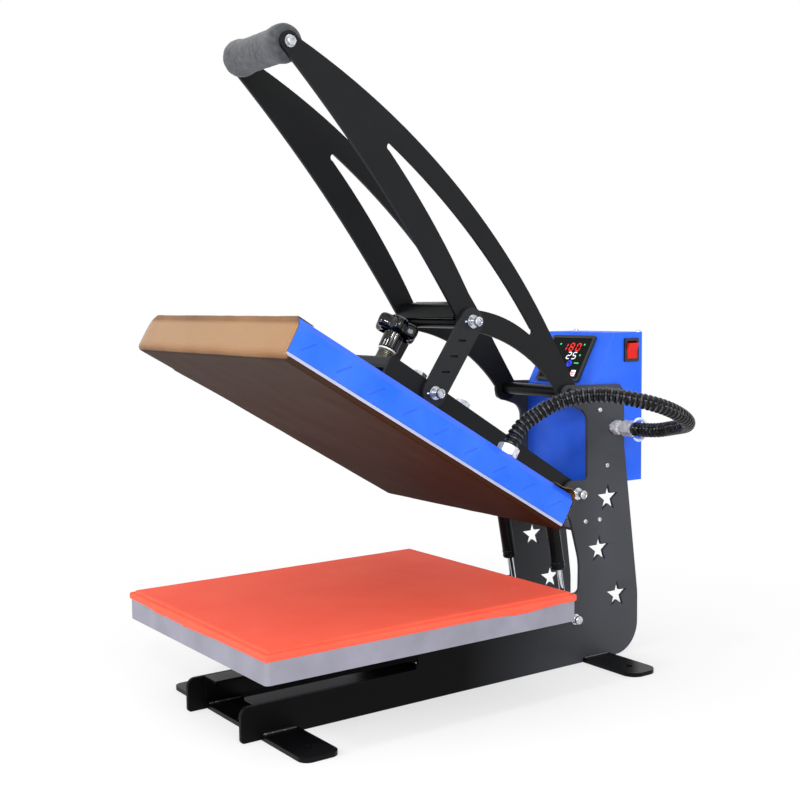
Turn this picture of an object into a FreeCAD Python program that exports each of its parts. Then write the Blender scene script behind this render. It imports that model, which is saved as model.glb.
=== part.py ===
import FreeCAD, Part
import Sketcher
import math
import os

Vector = FreeCAD.Vector
Rotation = FreeCAD.Rotation
Placement = FreeCAD.Placement

# A manual clamshell heat press, drawn open. X is right, Y is rearwards and Z is up, in millimetres.
# Outlines are drawn with Y measured from the front edge of the lower platen.
# The origin is on the floor, at the centre of the four foot holes.

driving_sizes = {
    # lower platen and its pad
    "platen_width": 400,
    "platen_length": 500,
    "table_thickness": 29,
    "table_bottom": 112,
    "table_corner": 6,
    "pad_thickness": 12,
    "pad_overhang": 1.5,
    # plates of the frame, measured from the middle plane
    "upright_outer": 80,
    "plate_thickness": 5,
    "plate_gap": 1,
    "nose_front": 28,
    "nose_height": 47,
    "step_back": 311,
    "upright_front": 620,
    "upright_top": 436,
    "upright_rear": 749,
    "neck_front": 638,
    "neck_rear": 717,
    "heel_radius": 48,
    "star_radius": 23,
    # foot bars and rails
    "foot_half_length": 187,
    "foot_width": 56,
    "foot_thickness": 6,
    "foot_corner": 14,
    "foot_hole_radius": 5.5,
    "foot_hole_side": 151,
    "front_foot_y": 85,
    "rear_foot_y": 657,
    "rail_width": 33,
    "rail_thickness": 4,
    "rail_front": 54,
    "rail_rear": 325,
    "support_front": 322,
    "support_rear": 488,
    "support_flange": 32,
    "tie_front": 620,
    "tie_rear": 676,
    "tie_level": 207,
    "tie_flange": 28,
    # pivots of the frame
    "handle_pivot_y": 600,
    "handle_pivot_z": 424,
    "handle_shaft_radius": 6,
    "carrier_pivot_y": 616,
    "carrier_pivot_z": 267,
    "carrier_shaft_radius": 8,
    "strut_pivot_y": 612,
    "strut_pivot_z": 71,
    "strut_rod_radius": 5,
    "running_fit": 0.05,
    "weld_gap": 0.2,
    # handle
    "lever_throw": 219,
    "lever_boss": 20.5,
    "grip_reach": 652,
    "grip_rise": 164,
    "grip_radius": 25,
    "grip_waist": 23,
    "handle_bar_radius": 9.5,
    "cross_tube_radius": 10,
    "link_length": 120.1,
    "link_width": 40,
    "link_bolt_radius": 6,
    # carrier, drawn level and then tilted up about its pivot
    "open_tilt": 30.2,
    "arm_link_reach": 321,
    "arm_link_rise": 9,
    "arm_depth": 17,
    "arm_boss": 21,
    "web_top": 8,
    "web_thickness": 5,
    "bridge_top": 22,
    "bridge_length": 53.5,
    "nut_top": 27,
    "nut_radius": 15,
    "spindle_radius": 12,
    "spindle_reach": 372.5,
    "arm_overhang": 35.5,
    "web_overhang": 23,
    "stud_reach": 28,
    "stud_drop": 28,
    "stud_radius": 4,
    "stud_play": 2.0,
    # upper platen, in the carrier's tilted frame
    "heater_rear": 120,
    "heater_length": 505,
    "heater_half_width": 205,
    "heater_bottom": 93,
    "heater_lip": 9,
    "heater_edge": 7,
    "heater_thickness": 20,
    "cover_top": 40,
    "cover_wall": 1.5,
    "cover_bevel": 10,
    "ptfe_thickness": 1,
    "ptfe_hem": 36,
    "ptfe_front_hem": 24,
    "louvre_count": 9,
    "louvre_pitch": 56.6,
    "louvre_first": 149,
    "louvre_length": 24,
    "louvre_width": 1.6,
    "hanger_radius": 5,
    "hanger_side": 55,
    "hanger_setback": 31.5,
    "hanger_pitch": 90,
    "hanger_rise": 14,
    # pressure screw
    "knob_radius": 34,
    "knob_valley": 26,
    "knob_hub_radius": 13.5,
    "knob_bottom": 48,
    "knob_neck": 72,
    "knob_top": 100,
    "knob_lobes": 6,
    "knob_lean": 40,
    # gas struts
    "strut_side": 57.5,
    "strut_cylinder_radius": 10.5,
    "strut_rod_thickness": 5,
    "strut_cylinder_foot": 80,
    # control box
    "box_front": 652.5,
    "box_depth": 107.5,
    "box_bottom": 276,
    "box_top": 513,
    "panel_bottom": 430,
    "panel_depth": 47.5,
    "box_wall": 1.5,
    "display_width": 98,
    "display_height": 82,
    "display_offset": 7,
    "display_drop": 1.5,
    "display_thickness": 4,
    "switch_inset": 24,
    "switch_z": 485,
    "switch_width": 31,
    "switch_height": 37,
    # conduit
    "conduit_radius": 11,
    "conduit_bore": 7.5,
    "conduit_rib": 1.6,
    "conduit_pitch": 7.6,
    "base_gland_y": 696,
    "base_gland_z": 365,
    "platen_gland_x": 178,
    "platen_gland_reach": 240,
    "gland_length": 41,
    "platen_gland_height": 22,
}

doc = FreeCAD.newDocument("heat_press")
sheet = doc.addObject("Spreadsheet::Sheet", "dims")
nodes = []


# A Size is a number that keeps the sheet formula it came from, so that one
# expression places the geometry and binds it to the sheet.
class Size:
    def __init__(self, value, formula):
        self.value = float(value)
        self.formula = formula

    def __float__(self):
        return self.value

    def __add__(self, other):
        other = as_size(other)
        return Size(self.value + other.value, f"({self.formula} + {other.formula})")

    def __radd__(self, other):
        return as_size(other) + self

    def __sub__(self, other):
        other = as_size(other)
        return Size(self.value - other.value, f"({self.formula} - {other.formula})")

    def __rsub__(self, other):
        return as_size(other) - self

    def __mul__(self, other):
        other = as_size(other)
        return Size(self.value * other.value, f"({self.formula} * {other.formula})")

    def __rmul__(self, other):
        return as_size(other) * self

    def __truediv__(self, other):
        other = as_size(other)
        return Size(self.value / other.value, f"({self.formula} / {other.formula})")

    def __neg__(self):
        return 0 - self


def as_size(item):
    if isinstance(item, Size):
        return item
    return Size(item, f"({float(item)!r})")


class Sizes:
    pass


def fill_sheet():
    sizes = Sizes()
    for row, (alias, value) in enumerate(driving_sizes.items(), start=1):
        cell = f"B{row}"
        sheet.set(f"A{row}", alias)
        sheet.set(cell, str(value))
        sheet.setAlias(cell, alias)
        setattr(sizes, alias, Size(value, f"dims.{alias}"))
    doc.recompute()
    return sizes


d = fill_sheet()


# Sizes that follow from the driving ones
foot_mid = (d.front_foot_y + d.rear_foot_y) / 2
upright_inner = d.upright_outer - d.plate_thickness
inner_plate_outer = upright_inner - d.plate_gap
inner_plate_inner = inner_plate_outer - d.plate_thickness
table_top = d.table_bottom + d.table_thickness
heater_front = d.heater_rear + d.heater_length
heater_top = d.heater_bottom - d.heater_thickness
cover_bottom = d.heater_bottom - d.heater_lip
cover_half_width = d.heater_half_width + 1
arm_length = d.spindle_reach + d.arm_overhang
hanger_front = d.spindle_reach - d.hanger_setback
hanger_rear = hanger_front - d.hanger_pitch
web_rear = hanger_rear - d.web_overhang
plate_underside = d.cover_top + d.cover_wall + 5.5
box_rear = d.box_front + d.box_depth
switch_y = box_rear - d.switch_inset
washer_thickness = 2.5
washer_radius = 10.5
nut_height = 7
screw_radius = 2
grip_bolt_radius = 4


# Vectors in the press's middle plane, as (Y, Z) pairs
def turned(reach, rise, angle):
    turn = math.radians(angle)
    return (
        reach * math.cos(turn) - rise * math.sin(turn),
        reach * math.sin(turn) + rise * math.cos(turn),
    )


handle_pivot = (float(d.handle_pivot_y), float(d.handle_pivot_z))
carrier_pivot = (float(d.carrier_pivot_y), float(d.carrier_pivot_z))
strut_pivot = (float(d.strut_pivot_y), float(d.strut_pivot_z))


# A point of the carrier, given forwards of its pivot and above it, for a tilt of the carrier
def on_carrier(reach, rise, tilt):
    across, up = turned(-float(reach), float(rise), -float(tilt))
    return (carrier_pivot[0] + across, carrier_pivot[1] + up)


# The pivot that two bars share: where the circle about one end meets the circle about the other
def shared_pivot(first, first_length, second, second_length):
    gap = math.dist(first, second)
    along = (first_length**2 - second_length**2 + gap**2) / (2 * gap)
    away = math.sqrt(first_length**2 - along**2)
    across = ((second[0] - first[0]) / gap, (second[1] - first[1]) / gap)
    return (
        first[0] + along * across[0] - away * across[1],
        first[1] + along * across[1] + away * across[0],
    )


def heading(start, end):
    return math.degrees(math.atan2(end[1] - start[1], end[0] - start[0]))


arm_pin = on_carrier(d.arm_link_reach, d.arm_link_rise, d.open_tilt)
lever_pin = shared_pivot(arm_pin, float(d.link_length), handle_pivot, float(d.lever_throw))
stud_pin = on_carrier(d.stud_reach, -d.stud_drop, d.open_tilt)
strut_length = math.dist(strut_pivot, stud_pin)


# Frames in which the sub-parts are drawn, each a turn about X at a pivot
def frame_at(pivot, angle):
    at = Vector(0, pivot[0] - float(foot_mid), pivot[1])
    return Placement(at, Rotation(Vector(1, 0, 0), angle))


press_frame = frame_at((0, 0), 0)
carrier_frame = frame_at(carrier_pivot, -float(d.open_tilt))
handle_frame = frame_at(handle_pivot, heading(handle_pivot, lever_pin) - 180)
link_frame = frame_at(lever_pin, heading(lever_pin, arm_pin) + 180)
strut_frame = frame_at(strut_pivot, heading(strut_pivot, stud_pin) - 90)


# Binding and drawing helpers
def bind(item, prop, size):
    if isinstance(size, Size):
        item.setExpression(prop, size.formula)


def new_body(label, frame):
    body = doc.addObject("PartDesign::Body", label)
    body.Label = label
    body.Placement = frame
    nodes.append(body)
    return body


def new_sketch(body, role, offset=0.0):
    sketch = body.newObject("Sketcher::SketchObject", f"{body.Label}_sketch")
    plane = [item for item in body.Origin.OriginFeatures if item.Role == role][0]
    sketch.AttachmentSupport = [(plane, "")]
    sketch.MapMode = "FlatFace"
    sketch.AttachmentOffset = Placement(Vector(0, 0, float(offset)), Rotation())
    bind(sketch, "AttachmentOffset.Base.z", offset)
    return sketch


def hold(sketch, kind, geometry, size, point=None):
    if kind == "Radius":
        rule = Sketcher.Constraint(kind, geometry, float(size))
    else:
        rule = Sketcher.Constraint(kind, -1, 1, geometry, point, float(size))
    index = sketch.addConstraint(rule)
    bind(sketch, f"Constraints[{index}]", size)


def draw_circle(sketch, across, up, radius):
    circle = Part.Circle(Vector(across, up, 0), Vector(0, 0, 1), float(radius))
    index = sketch.addGeometry(circle, False)
    hold(sketch, "Radius", index, radius)
    hold(sketch, "DistanceX", index, across, 3)
    hold(sketch, "DistanceY", index, up, 3)


def draw_rectangle(sketch, left, right, bottom, top):
    corners = [(left, bottom), (right, bottom), (right, top), (left, top)]
    spots = [Vector(float(across), float(up), 0) for across, up in corners]
    lines = [Part.LineSegment(spots[i], spots[(i + 1) % 4]) for i in range(4)]
    first = sketch.addGeometry(lines, False)[0]
    for i in range(4):
        after = first + (i + 1) % 4
        sketch.addConstraint(Sketcher.Constraint("Coincident", first + i, 2, after, 1))
        sketch.addConstraint(Sketcher.Constraint("Horizontal" if i % 2 == 0 else "Vertical", first + i))
    hold(sketch, "DistanceX", first, left, 1)
    hold(sketch, "DistanceY", first, bottom, 1)
    hold(sketch, "DistanceX", first + 2, right, 1)
    hold(sketch, "DistanceY", first + 2, top, 1)


# A closed polygon whose corners are (across, up, radius), a radius of 0 for a sharp one
def draw_rounded(sketch, corners):
    count = len(corners)
    spots = [Vector(float(across), float(up), 0) for across, up, radius in corners]
    ends = []
    bends = []
    for i in range(count):
        before = (spots[i - 1] - spots[i]).normalize()
        after = (spots[(i + 1) % count] - spots[i]).normalize()
        half = before.getAngle(after) / 2
        radius = float(corners[i][2])
        reach = radius / math.tan(half)
        entry = spots[i] + before * reach
        leave = spots[i] + after * reach
        if radius:
            middle = (before + after).normalize()
            crown = spots[i] + middle * (radius / math.sin(half) - radius)
            bends.append(Part.Arc(entry, crown, leave))
        ends.append((entry, leave))
    sides = []
    for i in range(count):
        start = ends[i][1]
        end = ends[(i + 1) % count][0]
        if start.distanceToPoint(end) > 1e-6:
            sides.append(Part.LineSegment(start, end))
    sketch.addGeometry(sides + bends, False)


# A closed outline of lines, given by their end, and arcs, given by a point on them and their end
def draw_traced(sketch, start, *steps):
    at = Vector(*start, 0)
    pieces = []
    for step in steps:
        if isinstance(step[0], tuple):
            middle, end = Vector(*step[0], 0), Vector(*step[1], 0)
            pieces.append(Part.Arc(at, middle, end))
        else:
            end = Vector(*step, 0)
            pieces.append(Part.LineSegment(at, end))
        at = end
    sketch.addGeometry(pieces, False)


def draw_star(sketch, across, up, radius):
    inner = float(radius) * math.sin(math.radians(18)) / math.sin(math.radians(54))
    tips = []
    for i in range(10):
        reach = float(radius) if i % 2 == 0 else inner
        turn = math.radians(90 + 36 * i)
        tips.append((across + reach * math.cos(turn), up + reach * math.sin(turn), 0))
    draw_rounded(sketch, tips)


# An outline of alternate round lobes and hollows about a centre
def draw_lobed(sketch, count, tip, valley, lean=0.0):
    pieces = []
    step = 2 * math.pi / count
    middle = (tip + valley) / 2

    def spot(turn, reach):
        return Vector(reach * math.cos(turn), reach * math.sin(turn), 0)

    for i in range(count):
        turn = lean + i * step
        start = spot(turn - step / 4, middle)
        meet = spot(turn + step / 4, middle)
        end = spot(turn + step * 3 / 4, middle)
        pieces.append(Part.Arc(start, spot(turn, tip), meet))
        pieces.append(Part.Arc(meet, spot(turn + step / 2, valley), end))
    sketch.addGeometry(pieces, False)


def pad(body, sketch, length):
    feature = body.newObject("PartDesign::Pad", f"{body.Label}_pad")
    feature.Profile = sketch
    feature.Length = float(length)
    bind(feature, "Length", length)
    sketch.Visibility = False
    return feature


def pocket(body, sketch, depth, upwards=True):
    feature = body.newObject("PartDesign::Pocket", f"{body.Label}_pocket")
    feature.Profile = sketch
    feature.Length = float(depth)
    bind(feature, "Length", depth)
    feature.Reversed = upwards
    return feature


def revolve(body, sketch, axis):
    feature = body.newObject("PartDesign::Revolution", f"{body.Label}_turned")
    feature.Profile = sketch
    feature.ReferenceAxis = (sketch, [axis])
    feature.Angle = 360
    return feature


def place(item, across, along, up, rotation=None):
    at = Vector(float(across), float(along), float(up))
    item.Placement = Placement(at, rotation or Rotation())
    bind(item, "Placement.Base.x", across)
    bind(item, "Placement.Base.y", along)
    bind(item, "Placement.Base.z", up)
    return item


towards_x = Rotation(Vector(0, 1, 0), 90)


def cylinder(label, radius, length):
    item = doc.addObject("Part::Cylinder", label)
    item.Radius = float(radius)
    item.Height = float(length)
    bind(item, "Radius", radius)
    bind(item, "Height", length)
    return item


def hexagon(label, radius, height):
    item = doc.addObject("Part::Prism", label)
    item.Polygon = 6
    item.Circumradius = float(radius)
    item.Height = float(height)
    bind(item, "Circumradius", radius)
    bind(item, "Height", height)
    return item


def box(label, width, depth, height):
    item = doc.addObject("Part::Box", label)
    for prop, size in (("Length", width), ("Width", depth), ("Height", height)):
        setattr(item, prop, float(size))
        bind(item, prop, size)
    return item


def fused(label, pieces):
    item = doc.addObject("Part::MultiFuse", label)
    item.Shapes = pieces
    return item


def cut(label, base, tool):
    item = doc.addObject("Part::Cut", label)
    item.Base = base
    item.Tool = tool
    return item


def group(label, pieces):
    item = doc.addObject("Part::Compound", label)
    item.Links = pieces
    return item


def as_node(item, label, frame):
    item.Label = label
    item.Placement = frame
    nodes.append(item)
    return item


# A tube along X between two distances from the middle plane
def tube_along_x(label, frame, left, right, outer, inner):
    body = new_body(label, frame)
    sketch = new_sketch(body, "YZ_Plane", left)
    draw_circle(sketch, 0.0, 0.0, outer)
    if float(inner):
        draw_circle(sketch, 0.0, 0.0, inner)
    pad(body, sketch, right - left)
    return body


# A plate standing in a vertical plane: on the right it starts at inner, on the left it mirrors that
def standing_plate(label, frame, side, inner, draw):
    body = new_body(label, frame)
    start = inner if side > 0 else -(inner + d.plate_thickness)
    sketch = new_sketch(body, "YZ_Plane", start)
    draw(sketch)
    pad(body, sketch, d.plate_thickness)
    return body


sides = (("left", -1), ("right", 1))


# Frame: side plates, foot bars, rails and folded cross plates
tie_screw_inset = 13
tie_screw_rise = 15
support_screw_inset = 23
support_screw_drop = 19
tie_screw_spots = (
    (d.tie_front + tie_screw_inset, d.tie_level + tie_screw_rise),
    (d.tie_rear - tie_screw_inset, d.tie_level + tie_screw_rise),
)
support_screw_spots = (
    (d.support_front + support_screw_inset, d.table_bottom - support_screw_drop),
    (d.support_rear - support_screw_inset, d.table_bottom - support_screw_drop),
)
box_screw_spots = ((d.box_front + 11, d.panel_bottom - 36), (d.box_front + 27, d.box_bottom + 30))
star_spots = ((682, 254), (663, 175), (703, 97))


def side_plate_outline():
    bar_top = d.foot_thickness + d.weld_gap
    front_bar = (d.front_foot_y - d.foot_width / 2, d.front_foot_y + d.foot_width / 2)
    rear_bar = (d.rear_foot_y - d.foot_width / 2, d.rear_foot_y + d.foot_width / 2)
    beak_front = d.handle_pivot_y - 15
    boss_front = d.carrier_pivot_y - 25
    return [
        (d.nose_front, 0, 5),
        (front_bar[0] - d.weld_gap, 0, 0),
        (front_bar[0] - d.weld_gap, bar_top, 0),
        (front_bar[1] + d.weld_gap, bar_top, 0),
        (front_bar[1] + d.weld_gap, 0, 0),
        (rear_bar[0] - d.weld_gap, 0, 0),
        (rear_bar[0] - d.weld_gap, bar_top, 0),
        (rear_bar[1] + d.weld_gap, bar_top, 0),
        (rear_bar[1] + d.weld_gap, 0, 0),
        (d.upright_rear, 0, d.heel_radius),
        (d.upright_rear, 95, 120),
        (d.neck_rear, 338, 160),
        (d.neck_rear, d.upright_top - 16, 4),
        (d.neck_rear - 10, d.upright_top - 4, 4),
        (beak_front, d.upright_top, 12),
        (beak_front + 1, d.handle_pivot_z - 15, 9),
        (d.neck_front, d.handle_pivot_z - 32, 22),
        (d.neck_front, d.carrier_pivot_z + 19, 6),
        (boss_front - 1, d.carrier_pivot_z + 22, 16),
        (boss_front, d.carrier_pivot_z - 24, 12),
        (d.upright_front - 17, d.carrier_pivot_z - 40, 16),
        (d.upright_front + 2, 160, 90),
        (d.upright_front + 1, d.table_bottom, 8),
        (d.step_back, d.table_bottom, 2),
        (d.step_back, d.nose_height, 8),
        (d.nose_front, d.nose_height, 12),
    ]


def side_plate(name, side):
    def draw(sketch):
        draw_rounded(sketch, side_plate_outline())
        for across, up in star_spots:
            draw_star(sketch, across, up, d.star_radius)
        draw_circle(sketch, d.handle_pivot_y, d.handle_pivot_z, d.handle_shaft_radius + d.running_fit)
        draw_circle(sketch, d.carrier_pivot_y, d.carrier_pivot_z, d.carrier_shaft_radius + d.running_fit)
        draw_circle(sketch, d.strut_pivot_y, d.strut_pivot_z, d.strut_rod_radius + d.running_fit)
        for across, up in tie_screw_spots + box_screw_spots + support_screw_spots:
            draw_circle(sketch, across, up, screw_radius + d.running_fit)
        if side > 0:
            draw_circle(sketch, d.base_gland_y, d.base_gland_z, d.conduit_radius + d.weld_gap)

    standing_plate(f"side_plate_{name}", press_frame, side, upright_inner, draw)


def foot_bar(label, middle, corner):
    body = new_body(label, press_frame)
    sketch = new_sketch(body, "XY_Plane")
    half = d.foot_half_length
    near = middle - d.foot_width / 2
    far = middle + d.foot_width / 2
    draw_rounded(sketch, [(-half, near, corner), (half, near, corner), (half, far, corner), (-half, far, corner)])
    draw_circle(sketch, -d.foot_hole_side, middle, d.foot_hole_radius)
    draw_circle(sketch, d.foot_hole_side, middle, d.foot_hole_radius)
    pad(body, sketch, d.foot_thickness)


def base_rail(name, side):
    body = new_body(f"base_rail_{name}", press_frame)
    outer = side * (upright_inner - d.weld_gap)
    inner = side * (upright_inner - d.weld_gap - d.rail_width)
    flange = new_sketch(body, "XY_Plane", d.nose_height - d.rail_thickness)
    draw_rounded(
        flange,
        [(outer, d.rail_front, 0), (outer, d.rail_rear, 0), (inner, d.rail_rear, 12), (inner, d.rail_front, 0)],
    )
    pad(body, flange, d.rail_thickness)
    leg = new_sketch(body, "XY_Plane", d.nose_height - d.rail_width)
    leg_inner = side * (upright_inner - d.weld_gap - d.rail_thickness)
    draw_rectangle(leg, outer, leg_inner, d.rail_front, d.rail_rear)
    pad(body, leg, d.rail_width - d.rail_thickness)


# A plate folded down at both ends, with the screw holes of its flanges
def folded_cross_plate(label, front, rear, top, thickness, flange, spots, up=False):
    body = new_body(label, press_frame)
    sketch = new_sketch(body, "XZ_Plane", -rear)
    half = upright_inner - d.weld_gap
    end = top + flange if up else top - flange
    under = top - thickness if not up else top + thickness
    draw_rounded(
        sketch,
        [
            (-half, end, 0),
            (-half, top, thickness),
            (half, top, thickness),
            (half, end, 0),
            (half - thickness, end, 0),
            (half - thickness, under, 0),
            (-half + thickness, under, 0),
            (-half + thickness, end, 0),
        ],
    )
    pad(body, sketch, rear - front)
    holes = new_sketch(body, "YZ_Plane", -half)
    for across, height in spots:
        draw_circle(holes, across, height, screw_radius + d.running_fit)
    pocket(body, holes, half * 2)


def frame_screws():
    pieces = []
    for side in (-1, 1):
        for across, up in tie_screw_spots + box_screw_spots + support_screw_spots:
            shank_length = d.plate_thickness + d.rail_thickness + d.weld_gap
            shank = cylinder("screw_shank", screw_radius, shank_length)
            head = cylinder("screw_head", screw_radius * 1.9, 2.4)
            place(shank, d.upright_outer - shank_length, 0, 0, towards_x)
            place(head, d.upright_outer, 0, 0, towards_x)
            screw = fused("frame_screw", [shank, head])
            turn = Rotation() if side > 0 else Rotation(Vector(0, 0, 1), 180)
            pieces.append(place(screw, 0, across, up, turn))
    as_node(group("frame_screws", pieces), "frame_screws", press_frame)


def lower_platen():
    body = new_body("lower_platen", press_frame)
    sketch = new_sketch(body, "XY_Plane", d.table_bottom)
    half = d.platen_width / 2
    corner = d.table_corner
    draw_rounded(
        sketch,
        [(-half, 0, corner), (half, 0, corner), (half, d.platen_length, corner), (-half, d.platen_length, corner)],
    )
    pad(body, sketch, d.table_thickness)


def silicone_pad():
    body = new_body("silicone_pad", press_frame)
    sketch = new_sketch(body, "XY_Plane", table_top)
    half = d.platen_width / 2 + d.pad_overhang
    front = -d.pad_overhang
    rear = d.platen_length + d.pad_overhang
    corner = d.table_corner / 2
    draw_rounded(sketch, [(-half, front, corner), (half, front, corner), (half, rear, corner), (-half, rear, corner)])
    pad(body, sketch, d.pad_thickness)


def base_shaft(label, radius, pivot_y, pivot_z, overhang):
    shaft = cylinder(label, radius, (d.upright_outer + overhang) * 2)
    frame = Placement(press_frame.Base + Vector(0, float(pivot_y), float(pivot_z)), towards_x)
    frame.Base = frame.Base - Vector(float(d.upright_outer + overhang), 0, 0)
    as_node(shaft, label, frame)


# A washer and a nut on each end of a shaft or bolt, outside a plate face
def washer_and_nut(side, across, along, up, radius):
    washer = cylinder("washer", washer_radius, washer_thickness)
    nut = hexagon("nut", 8.5, nut_height)
    start = across if side > 0 else -(across + washer_thickness)
    place(washer, start, along, up, towards_x)
    start = across + washer_thickness if side > 0 else -(across + washer_thickness + nut_height)
    place(nut, start, along, up, towards_x)
    stack = fused("nut_and_washer", [washer, nut])
    bore = cylinder("nut_bore", radius + d.running_fit, washer_thickness + nut_height + 2)
    start = across - 1 if side > 0 else -(across + washer_thickness + nut_height + 1)
    place(bore, start, along, up, towards_x)
    return cut("bored_nut", stack, bore)


def pivot_nuts():
    pieces = []
    for side in (-1, 1):
        for along, up in ((d.carrier_pivot_y, d.carrier_pivot_z), (d.strut_pivot_y, d.strut_pivot_z)):
            pieces.append(washer_and_nut(side, d.upright_outer, along, up, d.strut_rod_radius))
    as_node(group("pivot_nuts", pieces), "pivot_nuts", press_frame)


# The carrier shaft steps down to threaded ends of the strut rod's radius outside the plates
def carrier_pivot_shaft():
    body = new_body("carrier_pivot_shaft", frame_at(carrier_pivot, 0))
    sketch = new_sketch(body, "YZ_Plane", -d.upright_outer)
    draw_circle(sketch, 0.0, 0.0, d.carrier_shaft_radius)
    pad(body, sketch, d.upright_outer * 2)
    reach = d.upright_outer + washer_thickness + nut_height + 3
    ends = new_sketch(body, "YZ_Plane", -reach)
    draw_circle(ends, 0.0, 0.0, d.strut_rod_radius)
    pad(body, ends, reach * 2)


# Control box: a folded shell closed by a rear cover
def box_profile(inset):
    slope = math.atan2(float(d.box_top - d.panel_bottom), float(d.panel_depth))
    low = math.tan((math.pi / 2 - slope) / 2) * inset
    high = math.tan(slope / 2) * inset
    front = float(d.box_front)
    return [
        (front + inset, float(d.box_bottom) + inset, 0),
        (front + inset, float(d.panel_bottom) - low, 0),
        (front + float(d.panel_depth) + high, float(d.box_top) - inset, 0),
        (float(box_rear), float(d.box_top) - inset, 0),
        (float(box_rear), float(d.box_bottom) + inset, 0),
    ]


box_half_width = upright_inner - d.weld_gap
panel_slope = math.degrees(math.atan2(float(d.box_top - d.panel_bottom), float(d.panel_depth)))
panel_length = math.hypot(float(d.box_top - d.panel_bottom), float(d.panel_depth))
panel_frame = Placement(
    press_frame.Base + Vector(0, float(d.box_front), float(d.panel_bottom)),
    Rotation(Vector(1, 0, 0), panel_slope),
)


def control_box():
    body = new_body("control_box", press_frame)
    sketch = new_sketch(body, "YZ_Plane", -box_half_width)
    draw_rounded(sketch, box_profile(0))
    pad(body, sketch, box_half_width * 2)
    cavity = new_sketch(body, "YZ_Plane", -(box_half_width - d.box_wall))
    draw_rounded(cavity, box_profile(float(d.box_wall)))
    pocket(body, cavity, (box_half_width - d.box_wall) * 2)
    holes = new_sketch(body, "YZ_Plane", -box_half_width)
    for across, up in box_screw_spots:
        draw_circle(holes, across, up, screw_radius + d.running_fit)
    pocket(body, holes, box_half_width * 2)
    right_holes = new_sketch(body, "YZ_Plane", box_half_width - d.box_wall - 1)
    draw_circle(right_holes, d.base_gland_y, d.base_gland_z, d.conduit_radius + d.weld_gap)
    half_wide = d.switch_width / 2 - 3 + d.weld_gap
    half_tall = d.switch_height / 2 - 3 + d.weld_gap
    draw_rectangle(
        right_holes,
        switch_y - half_wide,
        switch_y + half_wide,
        d.switch_z - half_tall,
        d.switch_z + half_tall,
    )
    pocket(body, right_holes, d.box_wall + 2)


def control_box_cover():
    body = new_body("control_box_cover", press_frame)
    face = new_sketch(body, "XZ_Plane", -(box_rear + d.box_wall))
    draw_rectangle(face, -box_half_width, box_half_width, d.box_bottom, d.box_top)
    draw_rectangle(face, -14.0, 14.0, d.box_bottom + 26, d.box_bottom + 48)
    pad(body, face, d.box_wall)
    lip_depth = 4
    lip = new_sketch(body, "XZ_Plane", -box_rear)
    outer = box_half_width - d.box_wall - d.weld_gap
    inner = outer - d.box_wall
    low = d.box_bottom + d.box_wall + d.weld_gap
    high = d.box_top - d.box_wall - d.weld_gap
    draw_rectangle(lip, -outer, outer, low, high)
    draw_rectangle(lip, -inner, inner, low + d.box_wall, high - d.box_wall)
    pad(body, lip, lip_depth)


def display():
    body = new_body("display", panel_frame)
    sketch = new_sketch(body, "XY_Plane")
    middle = panel_length / 2 - d.display_drop
    left = -d.display_offset - d.display_width / 2
    right = -d.display_offset + d.display_width / 2
    low = middle - d.display_height / 2
    high = middle + d.display_height / 2
    draw_rounded(sketch, [(left, low, 4), (right, low, 4), (right, high, 4), (left, high, 4)])
    pad(body, sketch, d.display_thickness)
    window = new_sketch(body, "XY_Plane", d.display_thickness - 1)
    rim = 5
    draw_rectangle(window, left + rim, right - rim, low + rim, high - rim)
    pocket(body, window, 2)


def switch_bezel():
    body = new_body("switch_bezel", press_frame)
    rim = new_sketch(body, "YZ_Plane", box_half_width)
    wide, tall = d.switch_width / 2, d.switch_height / 2
    y, z = switch_y, d.switch_z
    draw_rounded(rim, [(y - wide, z - tall, 2), (y + wide, z - tall, 2), (y + wide, z + tall, 2), (y - wide, z + tall, 2)])
    draw_rectangle(rim, y - wide + 4.5, y + wide - 4.5, z - tall + 4.5, z + tall - 4.5)
    pad(body, rim, 3)
    sleeve = new_sketch(body, "YZ_Plane", box_half_width - 14)
    draw_rectangle(sleeve, y - wide + 3, y + wide - 3, z - tall + 3, z + tall - 3)
    draw_rectangle(sleeve, y - wide + 4.5, y + wide - 4.5, z - tall + 4.5, z + tall - 4.5)
    pad(body, sleeve, 14)


# The rocker's face is two slopes that meet in a shallow valley over its axis
rocker_pivot = (float(box_half_width) - 4, float(d.switch_z))
rocker_tilt = 10


def switch_rocker():
    frame = Placement(
        press_frame.Base + Vector(rocker_pivot[0], float(switch_y), rocker_pivot[1]),
        Rotation(Vector(0, 1, 0), rocker_tilt),
    )
    body = new_body("switch_rocker", frame)
    width = d.switch_width - 10
    sketch = new_sketch(body, "XZ_Plane", -width / 2)
    tall = float(d.switch_height) / 2 - 6.2
    draw_rounded(
        sketch,
        [(-4, -6, 2), (5, -tall, 1), (10.5, -tall, 1), (7.5, 0, 12), (10.5, tall, 1), (5, tall, 1), (-4, 6, 2)],
    )
    pad(body, sketch, width)


def mains_inlet():
    body = new_body("mains_inlet", press_frame)
    middle = d.box_bottom + 37
    rear = box_rear + d.box_wall
    flange = new_sketch(body, "XZ_Plane", -(rear + 3))
    draw_rounded(
        flange,
        [(-20, middle - 15, 3), (20, middle - 15, 3), (20, middle + 15, 3), (-20, middle + 15, 3)],
    )
    pad(body, flange, 3)
    shell = new_sketch(body, "XZ_Plane", -rear)
    draw_rectangle(shell, -13.8, 13.8, middle - 10.8, middle + 10.8)
    pad(body, shell, 24)
    socket = new_sketch(body, "XZ_Plane", -(rear + 3))
    draw_rounded(
        socket,
        [(-11.5, middle - 8.5, 1), (11.5, middle - 8.5, 1), (11.5, middle + 4, 0), (7, middle + 8.5, 0),
         (-7, middle + 8.5, 0), (-11.5, middle + 4, 0)],
    )
    pocket(body, socket, 17)


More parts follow.
